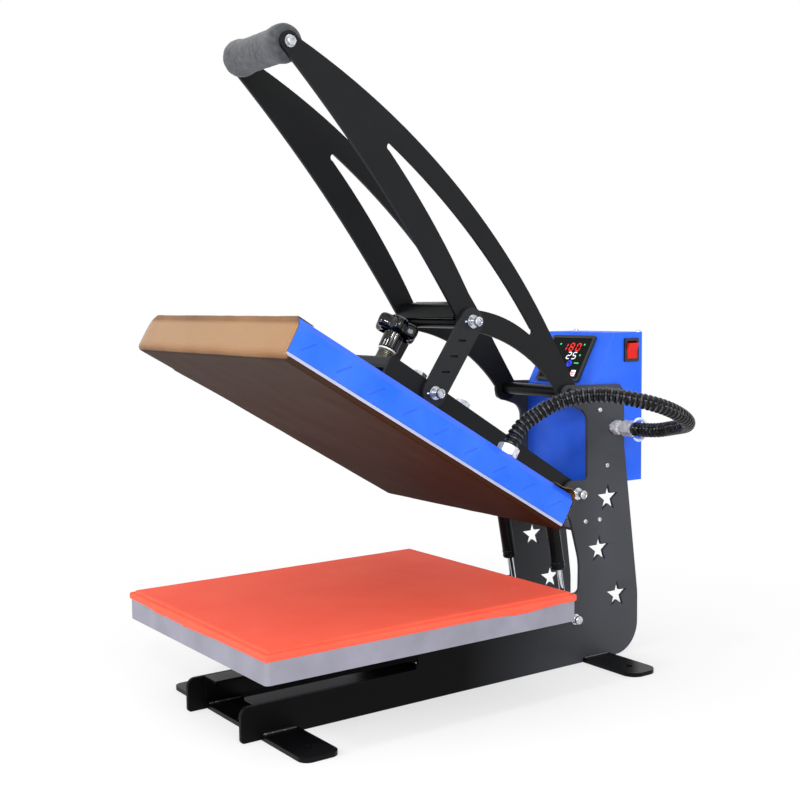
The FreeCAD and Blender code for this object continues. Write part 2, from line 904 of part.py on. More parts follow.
def control_board():
    board = box("board", 110, 2, 90)
    place(board, -55, d.box_front + d.box_wall + 8, d.box_bottom + 60)
    stands = []
    for across in (-48, 48):
        for up in (67, 143):
            stand = cylinder("board_stand", 3, 8)
            turn = Rotation(Vector(1, 0, 0), -90)
            stands.append(place(stand, across, d.box_front + d.box_wall, d.box_bottom + up, turn))
    as_node(fused("control_board", [board] + stands), "control_board", press_frame)


def solid_state_relay():
    relay = box("relay", 45, 58, 22)
    place(relay, -22, d.box_front + 18, d.box_bottom + d.box_wall)
    as_node(group("solid_state_relay", [relay]), "solid_state_relay", press_frame)


# Conduit glands: a flanged nut, a neck and a clamping nut round the hose's end
def gland(label, frame, foot, length):
    body = new_body(label, frame)
    sketch = new_sketch(body, "XZ_Plane")
    bore = d.conduit_bore
    neck = d.conduit_radius
    nut = d.conduit_radius + 2.5
    collar = length * 0.3
    draw_traced(
        sketch,
        (float(bore), -float(foot)),
        (float(neck), -float(foot)),
        (float(neck), 0.0),
        (float(nut), 0.0),
        (float(nut), float(collar)),
        (float(neck), float(collar)),
        (float(neck), float(collar) + 4),
        (float(nut) - 1, float(collar) + 4),
        (float(nut) - 1, float(length) - 4),
        (float(neck) + 1.5, float(length)),
        (float(bore), float(length)),
        (float(bore), -float(foot)),
    )
    revolve(body, sketch, "V_Axis")


def conduit_glands():
    at = press_frame.Base + Vector(float(d.upright_outer), float(d.base_gland_y), float(d.base_gland_z))
    foot = d.plate_thickness + d.weld_gap + d.box_wall + 4
    gland("base_conduit_gland", Placement(at, towards_x), foot, d.gland_length)
    spot = Placement(Vector(float(d.platen_gland_x), -float(d.platen_gland_reach), -float(d.cover_top)), Rotation())
    gland("platen_conduit_gland", carrier_frame * spot, d.cover_wall + 4, d.platen_gland_height)


# The conduit: a corrugated hose that leaves the upright's gland level and comes down square to the cover's.
# The bend beside the press is given from the hose's start, and the way down from its end.
conduit_gap = 0.3
conduit_first_run = Vector(40, 0, 0)
conduit_square_run = 18
conduit_bend = (Vector(80, -2, 8), Vector(144, -30, 20), Vector(166, -98, 48), Vector(143, -157, 67))
conduit_descent = (Vector(53, 109, 65), Vector(20, 75, 52), Vector(4, 42, 34))


def conduit_route():
    start = Vector(float(d.upright_outer + d.gland_length) + conduit_gap, float(d.base_gland_y), float(d.base_gland_z))
    rise = float(d.platen_gland_height - d.cover_top) + conduit_gap
    end_y, end_z = on_carrier(d.platen_gland_reach, rise, d.open_tilt)
    end = Vector(float(d.platen_gland_x), end_y, end_z)
    out_y, out_z = turned(0, 1, -float(d.open_tilt))
    lift = Vector(0, out_y, out_z)
    bend = [start + step for step in conduit_bend]
    descent = [end + step for step in conduit_descent]
    return [start, start + conduit_first_run] + bend + descent + [end + lift * conduit_square_run, end]


def conduit_path(route):
    edges = []
    at = route[0]
    for i in range(1, len(route) - 1):
        before = route[i - 1] - route[i]
        after = route[i + 1] - route[i]
        run = min(before.Length, after.Length)
        before.normalize()
        after.normalize()
        half_turn = (math.pi - before.getAngle(after)) / 2
        trim = 0.45 * run
        radius = trim / math.tan(half_turn)
        entry = route[i] + before * trim
        leave = route[i] + after * trim
        crown = route[i] + (before + after).normalize() * (radius / math.cos(half_turn) - radius)
        edges.append(Part.LineSegment(at, entry).toShape())
        edges.append(Part.Arc(entry, crown, leave).toShape())
        print(f"conduit bend {i}: radius {radius:.0f} mm, turn {math.degrees(2 * half_turn):.0f} degrees")
        at = leave
    edges.append(Part.LineSegment(at, route[-1]).toShape())
    return edges


# Points along the path with their tangents, at a list of distances
def stations(edges, distances):
    found = []
    index = 0
    passed = 0.0
    for distance in distances:
        while index < len(edges) - 1 and distance > passed + edges[index].Length:
            passed += edges[index].Length
            index += 1
        edge = edges[index]
        reach = min(max(distance - passed, 0.0), edge.Length)
        share = edge.FirstParameter + (edge.LastParameter - edge.FirstParameter) * reach / edge.Length
        found.append((edge.valueAt(share), edge.tangentAt(share)))
    return found


def conduit():
    edges = conduit_path(conduit_route())
    length = sum(edge.Length for edge in edges)
    crest = float(d.conduit_radius)
    root = crest - float(d.conduit_rib)
    plain = 2 * crest
    ribs = round((length - 2 * plain) / float(d.conduit_pitch))
    pitch = (length - 2 * plain) / ribs
    profile = [(0.0, root)]
    for i in range(ribs):
        profile.append((plain + i * pitch, root))
        profile.append((plain + (i + 0.5) * pitch, crest))
    profile.append((length - plain, root))
    profile.append((length, root))
    steady = Vector(-0.57, -0.17, 0.80)
    outer_rings = []
    places = stations(edges, [distance for distance, radius in profile])
    for (distance, radius), (point, along) in zip(profile, places):
        turn = Rotation(steady, Vector(), along, "ZXY")
        ring = Part.makeCircle(radius)
        ring.Placement = Placement(point, turn)
        outer_rings.append(Part.Wire(ring))
    hose = Part.makeLoft(outer_rings, True, True)
    bore_ring = Part.makeCircle(float(d.conduit_bore), route_start(edges), edges[0].tangentAt(0))
    bore = Part.Wire(edges).makePipeShell([Part.Wire(bore_ring)], True, False)
    item = doc.addObject("Part::Feature", "conduit")
    item.Shape = hose.cut(bore)
    as_node(item, "conduit", press_frame)
    print(f"conduit: {length:.0f} mm long, {ribs} ribs")


def route_start(edges):
    return edges[0].valueAt(edges[0].FirstParameter)


# Handle, drawn along its lower arm: -Y towards the link pivot, Z towards the grip
def handle_plate(name, side):
    throw = float(d.lever_throw)
    boss = float(d.lever_boss)
    reach = float(d.grip_reach)
    rise = float(d.grip_rise)
    end = 13.5

    def at(forwards, up):
        return (-forwards, up)

    def draw(sketch):
        draw_traced(
            sketch,
            at(reach - 7, rise + end - 2),
            (at(reach / 2 + 4, rise - 11), at(55, 50)),
            at(-boss * 0.45, boss * 0.89),
            (at(-boss * 0.97, -boss * 0.25), at(boss * 0.93, -boss * 0.38)),
            (at(throw * 0.46, 9), at(throw - boss * 0.95, -boss * 0.32)),
            (at(throw + boss * 0.1, -boss * 0.995), at(throw + boss * 0.93, -boss * 0.38)),
            (at(throw * 0.5 + reach * 0.5 + 15, rise - 79), at(reach + 3.5, rise - end + 0.5)),
            (at(reach + end, rise), at(reach - 7, rise + end - 2)),
        )
        draw_traced(
            sketch,
            at(throw - 4, 21),
            (at(throw - 53, 36), at(113, 39)),
            (at(107, 43), at(112, 48)),
            (at(270, 106), at(reach - 194, rise - 23)),
            (at(reach - 190, rise - 28), at(reach - 196, rise - 33)),
            (at(throw + 126, 87), at(throw + 4, 23)),
            (at(throw + 1, 20.6), at(throw - 4, 21)),
        )
        draw_circle(sketch, 0.0, 0.0, d.handle_shaft_radius + d.running_fit)
        draw_circle(sketch, -d.lever_throw, 0.0, d.link_bolt_radius + d.running_fit)
        draw_circle(sketch, -d.grip_reach, d.grip_rise, grip_bolt_radius)

    standing_plate(f"handle_plate_{name}", handle_frame, side, inner_plate_inner, draw)


grip_frame = handle_frame * Placement(Vector(0, -float(d.grip_reach), float(d.grip_rise)), Rotation())
link_pivot_frame = handle_frame * Placement(Vector(0, -float(d.lever_throw), 0), Rotation())


def grip():
    body = new_body("grip", Placement(grip_frame.Base, grip_frame.Rotation * towards_x))
    sketch = new_sketch(body, "XZ_Plane")
    half = float(inner_plate_inner) - 0.5
    bore = float(d.handle_bar_radius)
    full, waist = float(d.grip_radius), float(d.grip_waist)
    bulge = 18
    outline = [(bore, -half), (full - 6, -half), (full, -half + 7), (full, -half + bulge), (waist, -half + bulge * 2)]
    corners = outline + [(radius, -along) for radius, along in reversed(outline)]
    draw_rounded(sketch, [(radius, along, 0) for radius, along in corners])
    revolve(body, sketch, "V_Axis")


def grip_bolts():
    pieces = []
    for side in (-1, 1):
        washer = cylinder("grip_washer", 8, 1.5)
        head = cylinder("grip_bolt_head", 6.5, 4.5)
        shank = cylinder("grip_bolt_shank", grip_bolt_radius, d.plate_thickness + 12)
        place(washer, inner_plate_outer, 0, 0, towards_x)
        place(head, inner_plate_outer + 1.5, 0, 0, towards_x)
        place(shank, inner_plate_inner - 12, 0, 0, towards_x)
        bolt = fused("grip_bolt", [washer, head, shank])
        bolt.Placement = Placement(Vector(), Rotation() if side > 0 else Rotation(Vector(0, 0, 1), 180))
        pieces.append(bolt)
    as_node(group("grip_bolts", pieces), "grip_bolts", grip_frame)


# A bent strip between the handle plates, in front of the cross tube
def handle_stiffener():
    body = new_body("handle_stiffener", link_pivot_frame)
    sketch = new_sketch(body, "YZ_Plane", -inner_plate_inner)
    rim = -float(d.cross_tube_radius) - 1
    draw_rounded(
        sketch,
        [(rim - 16, -9, 2), (rim - 12, -11, 2), (rim - 14, 12, 8), (rim + 8, 26, 4), (rim + 5, 29, 2),
         (rim - 19, 14, 10)],
    )
    pad(body, sketch, inner_plate_inner * 2)


# Link bolts: a shank through the handle plate and the link, with a washer and a nut outside
def link_pivot_bolts():
    pieces = []
    for side in (-1, 1):
        start = inner_plate_inner - 8
        reach = d.upright_outer + washer_thickness + nut_height + 2
        shank = cylinder("link_bolt", d.link_bolt_radius, reach - start)
        place(shank, start if side > 0 else -reach, 0, 0, towards_x)
        pieces.append(shank)
        pieces.append(washer_and_nut(side, d.upright_outer + 0.3, 0, 0, d.link_bolt_radius))
    as_node(group("link_pivot_bolts", pieces), "link_pivot_bolts", link_pivot_frame)


def link(name, side):
    def draw(sketch):
        half = float(d.link_width) / 2
        low = -float(d.link_length)
        draw_traced(sketch, (0.0, half), (low, half), ((low - half, 0.0), (low, -half)), (0.0, -half),
                    ((half, 0.0), (0.0, half)))
        draw_circle(sketch, 0.0, 0.0, d.link_bolt_radius + d.running_fit)
        draw_circle(sketch, -d.link_length, 0.0, d.link_bolt_radius + d.running_fit)
        for i in range(3):
            middle = low * (0.27 + 0.22 * i)
            across, up = turned(7, 0, -58)
            side_across, side_up = turned(1.5, 0, 32)
            draw_rounded(
                sketch,
                [
                    (middle - across - side_across, -up - side_up, 1),
                    (middle + across - side_across, up - side_up, 1),
                    (middle + across + side_across, up + side_up, 1),
                    (middle - across + side_across, -up + side_up, 1),
                ],
            )

    standing_plate(f"link_{name}", link_frame, side, upright_inner, draw)


# The link's lower bolts stop short of the carrier arms
def link_end_bolts():
    pieces = []
    frame = link_frame * Placement(Vector(0, -float(d.link_length), 0), Rotation())
    for side in (-1, 1):
        reach = d.upright_outer + washer_thickness + nut_height + 2
        start = upright_inner - 0.5
        shank = cylinder("link_end_bolt", d.link_bolt_radius, reach - start)
        place(shank, start if side > 0 else -reach, 0, 0, towards_x)
        pieces.append(shank)
        pieces.append(washer_and_nut(side, d.upright_outer + 0.1, 0, 0, d.link_bolt_radius))
    as_node(group("link_end_bolts", pieces), "link_end_bolts", frame)


# Carrier, drawn level: -Y is forwards from its pivot and Z is up from it
def carrier_arm(name, side):
    def draw(sketch):
        boss = float(d.arm_boss)
        low = -float(d.arm_depth)
        front = -float(arm_length)
        stud = (-float(d.stud_reach), -float(d.stud_drop))
        draw_rounded(
            sketch,
            [
                (boss, boss - 6, boss * 0.7),
                (boss, -boss, boss * 0.9),
                (stud[0] + 12, stud[1] - 13, 11),
                (stud[0] - 13, stud[1] - 13, 11),
                (stud[0] - 24, low, 12),
                (front, low, 4),
                (front, d.bridge_top + 0.8, 4),
            ],
        )
        draw_circle(sketch, 0.0, 0.0, d.carrier_shaft_radius + d.running_fit)
        draw_circle(sketch, -d.arm_link_reach, d.arm_link_rise, d.link_bolt_radius)

    standing_plate(f"carrier_arm_{name}", carrier_frame, side, inner_plate_inner, draw)


hanger_spots = [(side, reach) for side in (-1, 1) for reach in (hanger_front, hanger_rear)]


def carrier_web():
    body = new_body("carrier_web", carrier_frame)
    sketch = new_sketch(body, "XY_Plane", d.web_top - d.web_thickness)
    draw_rectangle(sketch, -inner_plate_inner, inner_plate_inner, -arm_length, -web_rear)
    for side, reach in hanger_spots:
        draw_circle(sketch, side * d.hanger_side, -reach, d.hanger_radius + 1)
    draw_circle(sketch, 0.0, -d.spindle_reach, d.spindle_radius + 0.5)
    pad(body, sketch, d.web_thickness)


# A channel over the web, with the round nut of the pressure screw standing through it
def carrier_bridge():
    body = new_body("carrier_bridge", carrier_frame)
    sketch = new_sketch(body, "YZ_Plane", -inner_plate_inner)
    near = -float(arm_length)
    far = near + float(d.bridge_length)
    low, high = float(d.web_top), float(d.bridge_top)
    wall = 5
    draw_rounded(
        sketch,
        [(near, low, 0), (near, high, 5), (far, high, 5), (far, low, 0), (far - wall, low, 0),
         (far - wall, high - wall, 0), (near + wall, high - wall, 0), (near + wall, low, 0)],
    )
    pad(body, sketch, inner_plate_inner * 2)
    hole = new_sketch(body, "XY_Plane", d.web_top)
    draw_circle(hole, 0.0, -d.spindle_reach, d.nut_radius + d.weld_gap)
    pocket(body, hole, d.bridge_top)


def spindle_nut():
    body = new_body("spindle_nut", carrier_frame)
    sketch = new_sketch(body, "XY_Plane", d.web_top)
    draw_circle(sketch, 0.0, -d.spindle_reach, d.nut_radius)
    draw_circle(sketch, 0.0, -d.spindle_reach, d.spindle_radius + d.running_fit)
    pad(body, sketch, d.nut_top - d.web_top)


def strut_studs():
    pieces = []
    for side in (-1, 1):
        length = inner_plate_inner - d.strut_side + 6
        stud = cylinder("strut_stud", d.stud_radius, length)
        start = inner_plate_inner - length
        place(stud, start if side > 0 else -inner_plate_inner, -d.stud_reach, -d.stud_drop, towards_x)
        pieces.append(stud)
    as_node(group("strut_studs", pieces), "strut_studs", carrier_frame)


# Upper platen, drawn level in the carrier's frame and below it
def heater_platen():
    body = new_body("heater_platen", carrier_frame)
    half = d.heater_half_width
    low = -d.heater_bottom
    high = low + d.heater_lip - d.weld_gap
    lip = new_sketch(body, "YZ_Plane", -half)
    draw_rounded(
        lip,
        [(-heater_front, low, d.heater_edge), (-d.heater_rear, low, d.heater_edge), (-d.heater_rear, high, 0),
         (-heater_front, high, 0)],
    )
    pad(body, lip, half * 2)
    block = new_sketch(body, "XY_Plane", high)
    inset = d.cover_wall + d.weld_gap
    draw_rectangle(block, -half + inset, half - inset, -heater_front + inset, -d.heater_rear - inset)
    pad(body, block, -heater_top - high)


def platen_cover():
    body = new_body("platen_cover", carrier_frame)
    half = cover_half_width
    bevel = d.cover_bevel
    wall = d.cover_wall
    shell = new_sketch(body, "XZ_Plane", d.heater_rear)
    draw_rounded(
        shell,
        [(-half, -cover_bottom, 0), (half, -cover_bottom, 0), (half, -d.cover_top - bevel, 2),
         (half - bevel, -d.cover_top, 2), (-half + bevel, -d.cover_top, 2), (-half, -d.cover_top - bevel, 2)],
    )
    pad(body, shell, d.heater_length)
    inner = half - wall
    fold = wall * math.tan(math.radians(22.5))
    cavity = new_sketch(body, "XZ_Plane", d.heater_rear + wall)
    draw_rounded(
        cavity,
        [(-inner, -cover_bottom - 1, 0), (inner, -cover_bottom - 1, 0), (inner, -d.cover_top - bevel - fold, 0),
         (half - bevel - fold, -d.cover_top - wall, 0), (-half + bevel + fold, -d.cover_top - wall, 0),
         (-inner, -d.cover_top - bevel - fold, 0)],
    )
    pocket(body, cavity, d.heater_length - wall * 2)
    holes = new_sketch(body, "XY_Plane", -d.cover_top - wall - 1)
    for side, reach in hanger_spots:
        draw_circle(holes, side * d.hanger_side, -reach, d.hanger_radius + d.weld_gap)
    draw_circle(holes, 0.0, -d.spindle_reach, d.spindle_radius + 4 + d.weld_gap)
    draw_circle(holes, d.platen_gland_x, -d.platen_gland_reach, d.conduit_radius + d.weld_gap)
    pocket(body, holes, wall + 2)
    slit = new_sketch(body, "YZ_Plane", -half - 1)
    middle = -float(d.cover_top + cover_bottom) / 2 - 5
    across, up = turned(float(d.louvre_length) / 2, 0, 45)
    thick_across, thick_up = turned(0, float(d.louvre_width) / 2, 45)
    first = -float(d.louvre_first)
    draw_rounded(
        slit,
        [
            (first + across - thick_across, middle + up - thick_up, 0),
            (first + across + thick_across, middle + up + thick_up, 0),
            (first - across + thick_across, middle - up + thick_up, 0),
            (first - across - thick_across, middle - up - thick_up, 0),
        ],
    )
    louvre = pocket(body, slit, half * 2 + 2)
    row = body.newObject("PartDesign::LinearPattern", "louvre_row")
    row.Originals = [louvre]
    row.Direction = (slit, ["H_Axis"])
    row.Reversed = True
    row.Length = float(d.louvre_pitch * (d.louvre_count - 1))
    bind(row, "Length", d.louvre_pitch * (d.louvre_count - 1))
    row.Occurrences = round(float(d.louvre_count))
    bind(row, "Occurrences", d.louvre_count)
    body.Tip = row


# The PTFE cloth: hooked over the cover's front edge, down the front face, under the platen and back over
# its rear edge, with its upper corners trimmed to the cover's bevels
def ptfe_sheet():
    body = new_body("ptfe_sheet", carrier_frame)
    half = d.heater_half_width
    sketch = new_sketch(body, "YZ_Plane", -half)
    gap = 0.3
    fold = 0.5
    thick = float(d.ptfe_thickness)
    edge = float(d.heater_edge)
    front = -float(heater_front) - gap
    rear = -float(d.heater_rear) + gap
    bottom = -float(d.heater_bottom)
    top = -float(d.cover_top) + gap
    front_hem = -float(heater_front - d.ptfe_front_hem)
    rear_hem = -float(d.heater_rear + d.ptfe_hem)
    draw_rounded(
        sketch,
        [
            (front_hem, top + thick, 0),
            (front - thick, top + thick, fold + thick),
            (front - thick, bottom - thick, edge + thick),
            (rear + thick, bottom - thick, edge + thick),
            (rear + thick, top + thick, fold + thick),
            (rear_hem, top + thick, 0),
            (rear_hem, top, 0),
            (rear, top, fold),
            (rear, bottom, edge),
            (front, bottom, edge),
            (front, top, fold),
            (front_hem, top, 0),
        ],
    )
    pad(body, sketch, half * 2)
    corners = new_sketch(body, "XZ_Plane", d.heater_rear - thick * 2)
    peak = -d.cover_top + gap + thick * 2
    trim = d.cover_bevel + gap
    for side in (-1, 1):
        outside = side * (half + thick)
        draw_rounded(corners, [(outside, peak, 0), (side * (half - trim), peak, 0), (outside, peak - trim - thick, 0)])
    pocket(body, corners, d.heater_length + thick * 4)


# Four tension springs hold the cloth's rear hem to small feet on the cover
def sheet_springs():
    pieces = []
    hem = d.heater_rear + d.ptfe_hem + 0.2
    coil_length = 34
    coil_radius = 2.2
    level = -d.cover_top + coil_radius + 0.4
    foot = 4
    for across in (-168, -60, 60, 158):
        coil = cylinder("spring_coil", coil_radius, coil_length)
        place(coil, across, -hem, level, Rotation(Vector(1, 0, 0), 90))
        pad_foot = box("spring_foot", foot * 2, foot, coil_radius + 0.4)
        place(pad_foot, across - foot, -hem - coil_length - foot + 0.2, -d.cover_top)
        pieces.append(fused("sheet_spring", [coil, pad_foot]))
    as_node(group("sheet_springs", pieces), "sheet_springs", carrier_frame)


def hanger_bolts():
    pieces = []
    head_low = d.web_top + d.hanger_rise
    for side, reach in hanger_spots:
        length = head_low + plate_underside
        shank = cylinder("hanger_shank", d.hanger_radius, length)
        head = hexagon("hanger_head", 9.8, 8)
        collar = cylinder("hanger_collar", 9, 3)
        x = side * d.hanger_side
        place(shank, x, -reach, -plate_underside)
        place(head, x, -reach, head_low)
        place(collar, x, -reach, -d.cover_top)
        pieces.append(fused("hanger_bolt", [shank, head, collar]))
    as_node(group("hanger_bolts", pieces), "hanger_bolts", carrier_frame)


# The steel plate reaches from behind the rear hanger bolts to the front, and stands on four posts
plate_half_width = 110
plate_front = heater_front - 110
plate_rear = hanger_rear - 21
post_side = 60
post_radius = 8
post_inset = 20
post_spots = [(side * post_side, reach) for side in (-1, 1) for reach in (plate_rear + post_inset, plate_front - post_inset)]


# The steel plate under the cover that the hanger bolts and the spindle's seat are fixed to
def pressure_plate():
    body = new_body("pressure_plate", carrier_frame)
    sketch = new_sketch(body, "XY_Plane", -plate_underside)
    draw_rectangle(sketch, -plate_half_width, plate_half_width, -plate_front, -plate_rear)
    for side, reach in hanger_spots:
        draw_circle(sketch, side * d.hanger_side, -reach, d.hanger_radius + d.running_fit)
    draw_circle(sketch, 0.0, -d.spindle_reach, d.spindle_radius + d.weld_gap)
    pad(body, sketch, 5)
    posts = new_sketch(body, "XY_Plane", -heater_top)
    for across, reach in post_spots:
        draw_circle(posts, across, -reach, post_radius)
    pad(body, posts, heater_top - plate_underside)


def spindle_seat():
    body = new_body("spindle_seat", carrier_frame)
    sketch = new_sketch(body, "XY_Plane", -d.cover_top)
    draw_circle(sketch, 0.0, -d.spindle_reach, d.spindle_radius + 11)
    draw_circle(sketch, 0.0, -d.spindle_reach, d.spindle_radius + d.running_fit)
    pad(body, sketch, 4)
    hub = new_sketch(body, "XY_Plane", -d.cover_top - d.cover_wall)
    draw_circle(hub, 0.0, -d.spindle_reach, d.spindle_radius + 4)
    draw_circle(hub, 0.0, -d.spindle_reach, d.spindle_radius + d.running_fit)
    pad(body, hub, 18)


# A strip element that runs to and fro over the aluminium block
def heating_element():
    width = 8
    runs = 6
    spacing = 60
    half = float(d.heater_length) / 2 - spacing
    middle = -float(heater_front + d.heater_rear) / 2
    level = width / 2 - float(heater_top)
    left = -spacing * (runs - 1) / 2
    edges = []
    for i in range(runs):
        x = left + i * spacing
        up = 1 if i % 2 == 0 else -1
        start = Vector(x, middle - up * half, level)
        end = Vector(x, middle + up * half, level)
        edges.append(Part.LineSegment(start, end).toShape())
        if i < runs - 1:
            crown = Vector(x + spacing / 2, middle + up * (half + spacing / 2), level)
            edges.append(Part.Arc(end, crown, end + Vector(spacing, 0, 0)).toShape())
    first = edges[0].valueAt(edges[0].FirstParameter)
    signs = ((-1, -1), (1, -1), (1, 1), (-1, 1), (-1, -1))
    section = Part.makePolygon([first + Vector(x * width / 2, 0, z * width / 2) for x, z in signs])
    item = doc.addObject("Part::Feature", "heating_element")
    item.Shape = Part.Wire(edges).makePipeShell([section], True, False)
    as_node(item, "heating_element", carrier_frame)


def insulation_blanket():
    body = new_body("insulation_blanket", carrier_frame)
    low = heater_top - 8.3
    sketch = new_sketch(body, "XY_Plane", -low)
    half = d.heater_half_width - 8
    draw_rectangle(sketch, -half, half, -heater_front + 8, -d.heater_rear - 8)
    for across, reach in post_spots:
        draw_circle(sketch, across, -reach, post_radius + 1)
    pad(body, sketch, low - plate_underside - 1)


# Pressure screw with its star knob, drawn about its own axis in the carrier's frame
knob_frame = carrier_frame * Placement(Vector(0, -float(d.spindle_reach), 0), Rotation())


def star_knob():
    body = new_body("star_knob", knob_frame)
    hub = new_sketch(body, "XY_Plane", d.knob_bottom)
    draw_lobed(hub, 8, float(d.knob_hub_radius), float(d.knob_hub_radius) - 1.2)
    pad(body, hub, d.knob_neck - d.knob_bottom)
    star = new_sketch(body, "XY_Plane", d.knob_neck)
    lean = math.radians(float(d.knob_lean))
    draw_lobed(star, round(float(d.knob_lobes)), float(d.knob_radius), float(d.knob_valley), lean)
    pad(body, star, d.knob_top - d.knob_neck - 6)
    crown = new_sketch(body, "XY_Plane", d.knob_top - 6)
    draw_circle(crown, 0.0, 0.0, d.knob_hub_radius + 3)
    cap = pad(body, crown, 6)
    cap.TaperAngle = -25
    bore = new_sketch(body, "XY_Plane", d.knob_bottom)
    draw_circle(bore, 0.0, 0.0, d.spindle_radius - 2 + d.running_fit)
    pocket(body, bore, 30)


def pressure_spindle():
    body = new_body("pressure_spindle", knob_frame)
    sketch = new_sketch(body, "XY_Plane", -plate_underside)
    draw_circle(sketch, 0.0, 0.0, d.spindle_radius)
    pad(body, sketch, plate_underside + d.knob_bottom - 2)
    neck = new_sketch(body, "XY_Plane", d.knob_bottom - 2)
    draw_circle(neck, 0.0, 0.0, d.spindle_radius - 2)
    pad(body, neck, 30)


def knob_washer():
    body = new_body("knob_washer", knob_frame)
    sketch = new_sketch(body, "XY_Plane", d.knob_bottom - 2)
    draw_circle(sketch, 0.0, 0.0, d.spindle_radius + 1.2)
    draw_circle(sketch, 0.0, 0.0, d.spindle_radius - 2 + d.running_fit)
    pad(body, sketch, 2)


# Gas struts, drawn upright from their lower pivot
def eye(name, across, up, outer, inner, width):
    ring = cylinder(f"{name}_ring", outer, width)
    hole = cylinder(f"{name}_hole", inner, width + 2)
    place(ring, across - width / 2, 0, up, towards_x)
    place(hole, across - width / 2 - 1, 0, up, towards_x)
    return ring, hole


def strut_rods():
    pieces = []
    for side in (-1, 1):
        across = side * d.strut_side
        ring, hole = eye("rod_eye", across, 0, 10, d.strut_rod_radius + d.running_fit, 12)
        rod = cylinder("strut_rod", d.strut_rod_thickness, d.strut_cylinder_foot + 22)
        place(rod, across, 0, 8)
        pieces.append(cut("rod_with_eye", fused("rod_and_ring", [ring, rod]), hole))
    as_node(group("strut_rods", pieces), "strut_rods", strut_frame)


def strut_cylinders():
    pieces = []
    for side in (-1, 1):
        across = side * d.strut_side
        ring, hole = eye("cylinder_eye", across, strut_length, 9.5, d.stud_radius + d.stud_play, 12)
        tube = cylinder("strut_tube", d.strut_cylinder_radius, strut_length - float(d.strut_cylinder_foot) - 14)
        neck = cylinder("strut_neck", 5, 9)
        place(tube, across, 0, d.strut_cylinder_foot)
        place(neck, across, 0, strut_length - 15)
        bore = cylinder("strut_bore", d.strut_rod_thickness + d.running_fit, 56)
        place(bore, across, 0, d.strut_cylinder_foot - 1)
        solid = fused("cylinder_and_ring", [tube, neck, ring])
        pieces.append(cut("strut_cylinder", solid, fused("cylinder_hollows", [bore, hole])))
    as_node(group("strut_cylinders", pieces), "strut_cylinders", strut_frame)


def build_frame():
    for name, side in sides:
        side_plate(name, side)
        base_rail(name, side)
    foot_bar("front_foot_bar", d.front_foot_y, d.foot_corner)
    foot_bar("rear_foot_bar", d.rear_foot_y, d.foot_corner + 6)
    support = (d.support_front, d.support_rear, d.table_bottom)
    tie = (d.tie_front, d.tie_rear, d.tie_level)
    folded_cross_plate("platen_support", *support, d.rail_thickness, d.support_flange, support_screw_spots)
    folded_cross_plate("upright_tie_plate", *tie, d.rail_thickness, d.tie_flange, tie_screw_spots, True)
    frame_screws()
    lower_platen()
    silicone_pad()
    base_shaft("handle_pivot_shaft", d.handle_shaft_radius, d.handle_pivot_y, d.handle_pivot_z, 2)
    base_shaft("strut_pivot_rod", d.strut_rod_radius, d.strut_pivot_y, d.strut_pivot_z, 12)
    carrier_pivot_shaft()
    pivot_nuts()


def build_control_box():
    control_box()
    control_box_cover()
    display()
    switch_bezel()
    switch_rocker()
    mains_inlet()
    control_board()
    solid_state_relay()
    conduit_glands()
    conduit()


def build_handle():
    half = inner_plate_inner
    for name, side in sides:
        handle_plate(name, side)
        link(name, side)
    tube_along_x("handle_bar", grip_frame, -half, half, d.handle_bar_radius, grip_bolt_radius)
    grip()
    grip_bolts()
    shaft = d.handle_shaft_radius + d.running_fit
    tube_along_x("handle_pivot_tube", handle_frame, -half, half, shaft + 3.5, shaft)
    tube_along_x("link_cross_tube", link_pivot_frame, -half, half, d.cross_tube_radius, d.link_bolt_radius)
    handle_stiffener()
    link_pivot_bolts()
    link_end_bolts()


def build_carrier():
    for name, side in sides:
        carrier_arm(name, side)
    carrier_web()
    carrier_bridge()
    spindle_nut()
    shaft = d.carrier_shaft_radius + d.running_fit
    tube_along_x("carrier_pivot_tube", carrier_frame, -inner_plate_inner, inner_plate_inner, shaft + 4, shaft)
    strut_studs()


def build_upper_platen():
    heater_platen()
    platen_cover()
    ptfe_sheet()
    sheet_springs()
    hanger_bolts()
    pressure_plate()
    spindle_seat()
    heating_element()
    insulation_blanket()
    star_knob()
    pressure_spindle()
    knob_washer()


def check_and_write():
    doc.recompute()
    for item in doc.Objects:
        if "Invalid" in item.State or "Error" in item.State:
            raise RuntimeError(f"{item.Label} failed: {item.State}")
        if item.TypeId == "PartDesign::Pocket":
            before = item.BaseFeature.Shape.Volume
            if item.Shape.Volume > before - 0.01:
                raise RuntimeError(f"{item.Label} cuts nothing")
    os.makedirs("parts", exist_ok=True)
    for node in nodes:
        shape = node.Shape
        if shape.isNull() or not shape.isValid():
            raise RuntimeError(f"{node.Label} has no valid shape")
    for node in nodes:
        node.Shape.exportStep(f"parts/{node.Label}.step")
    print(len(nodes), "sub-parts written")


build_frame()
build_control_box()
build_handle()
build_carrier()
build_upper_platen()
strut_rods()
strut_cylinders()
check_and_write()
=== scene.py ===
import math
import bmesh
import bpy
from mathutils import Matrix, Vector, noise


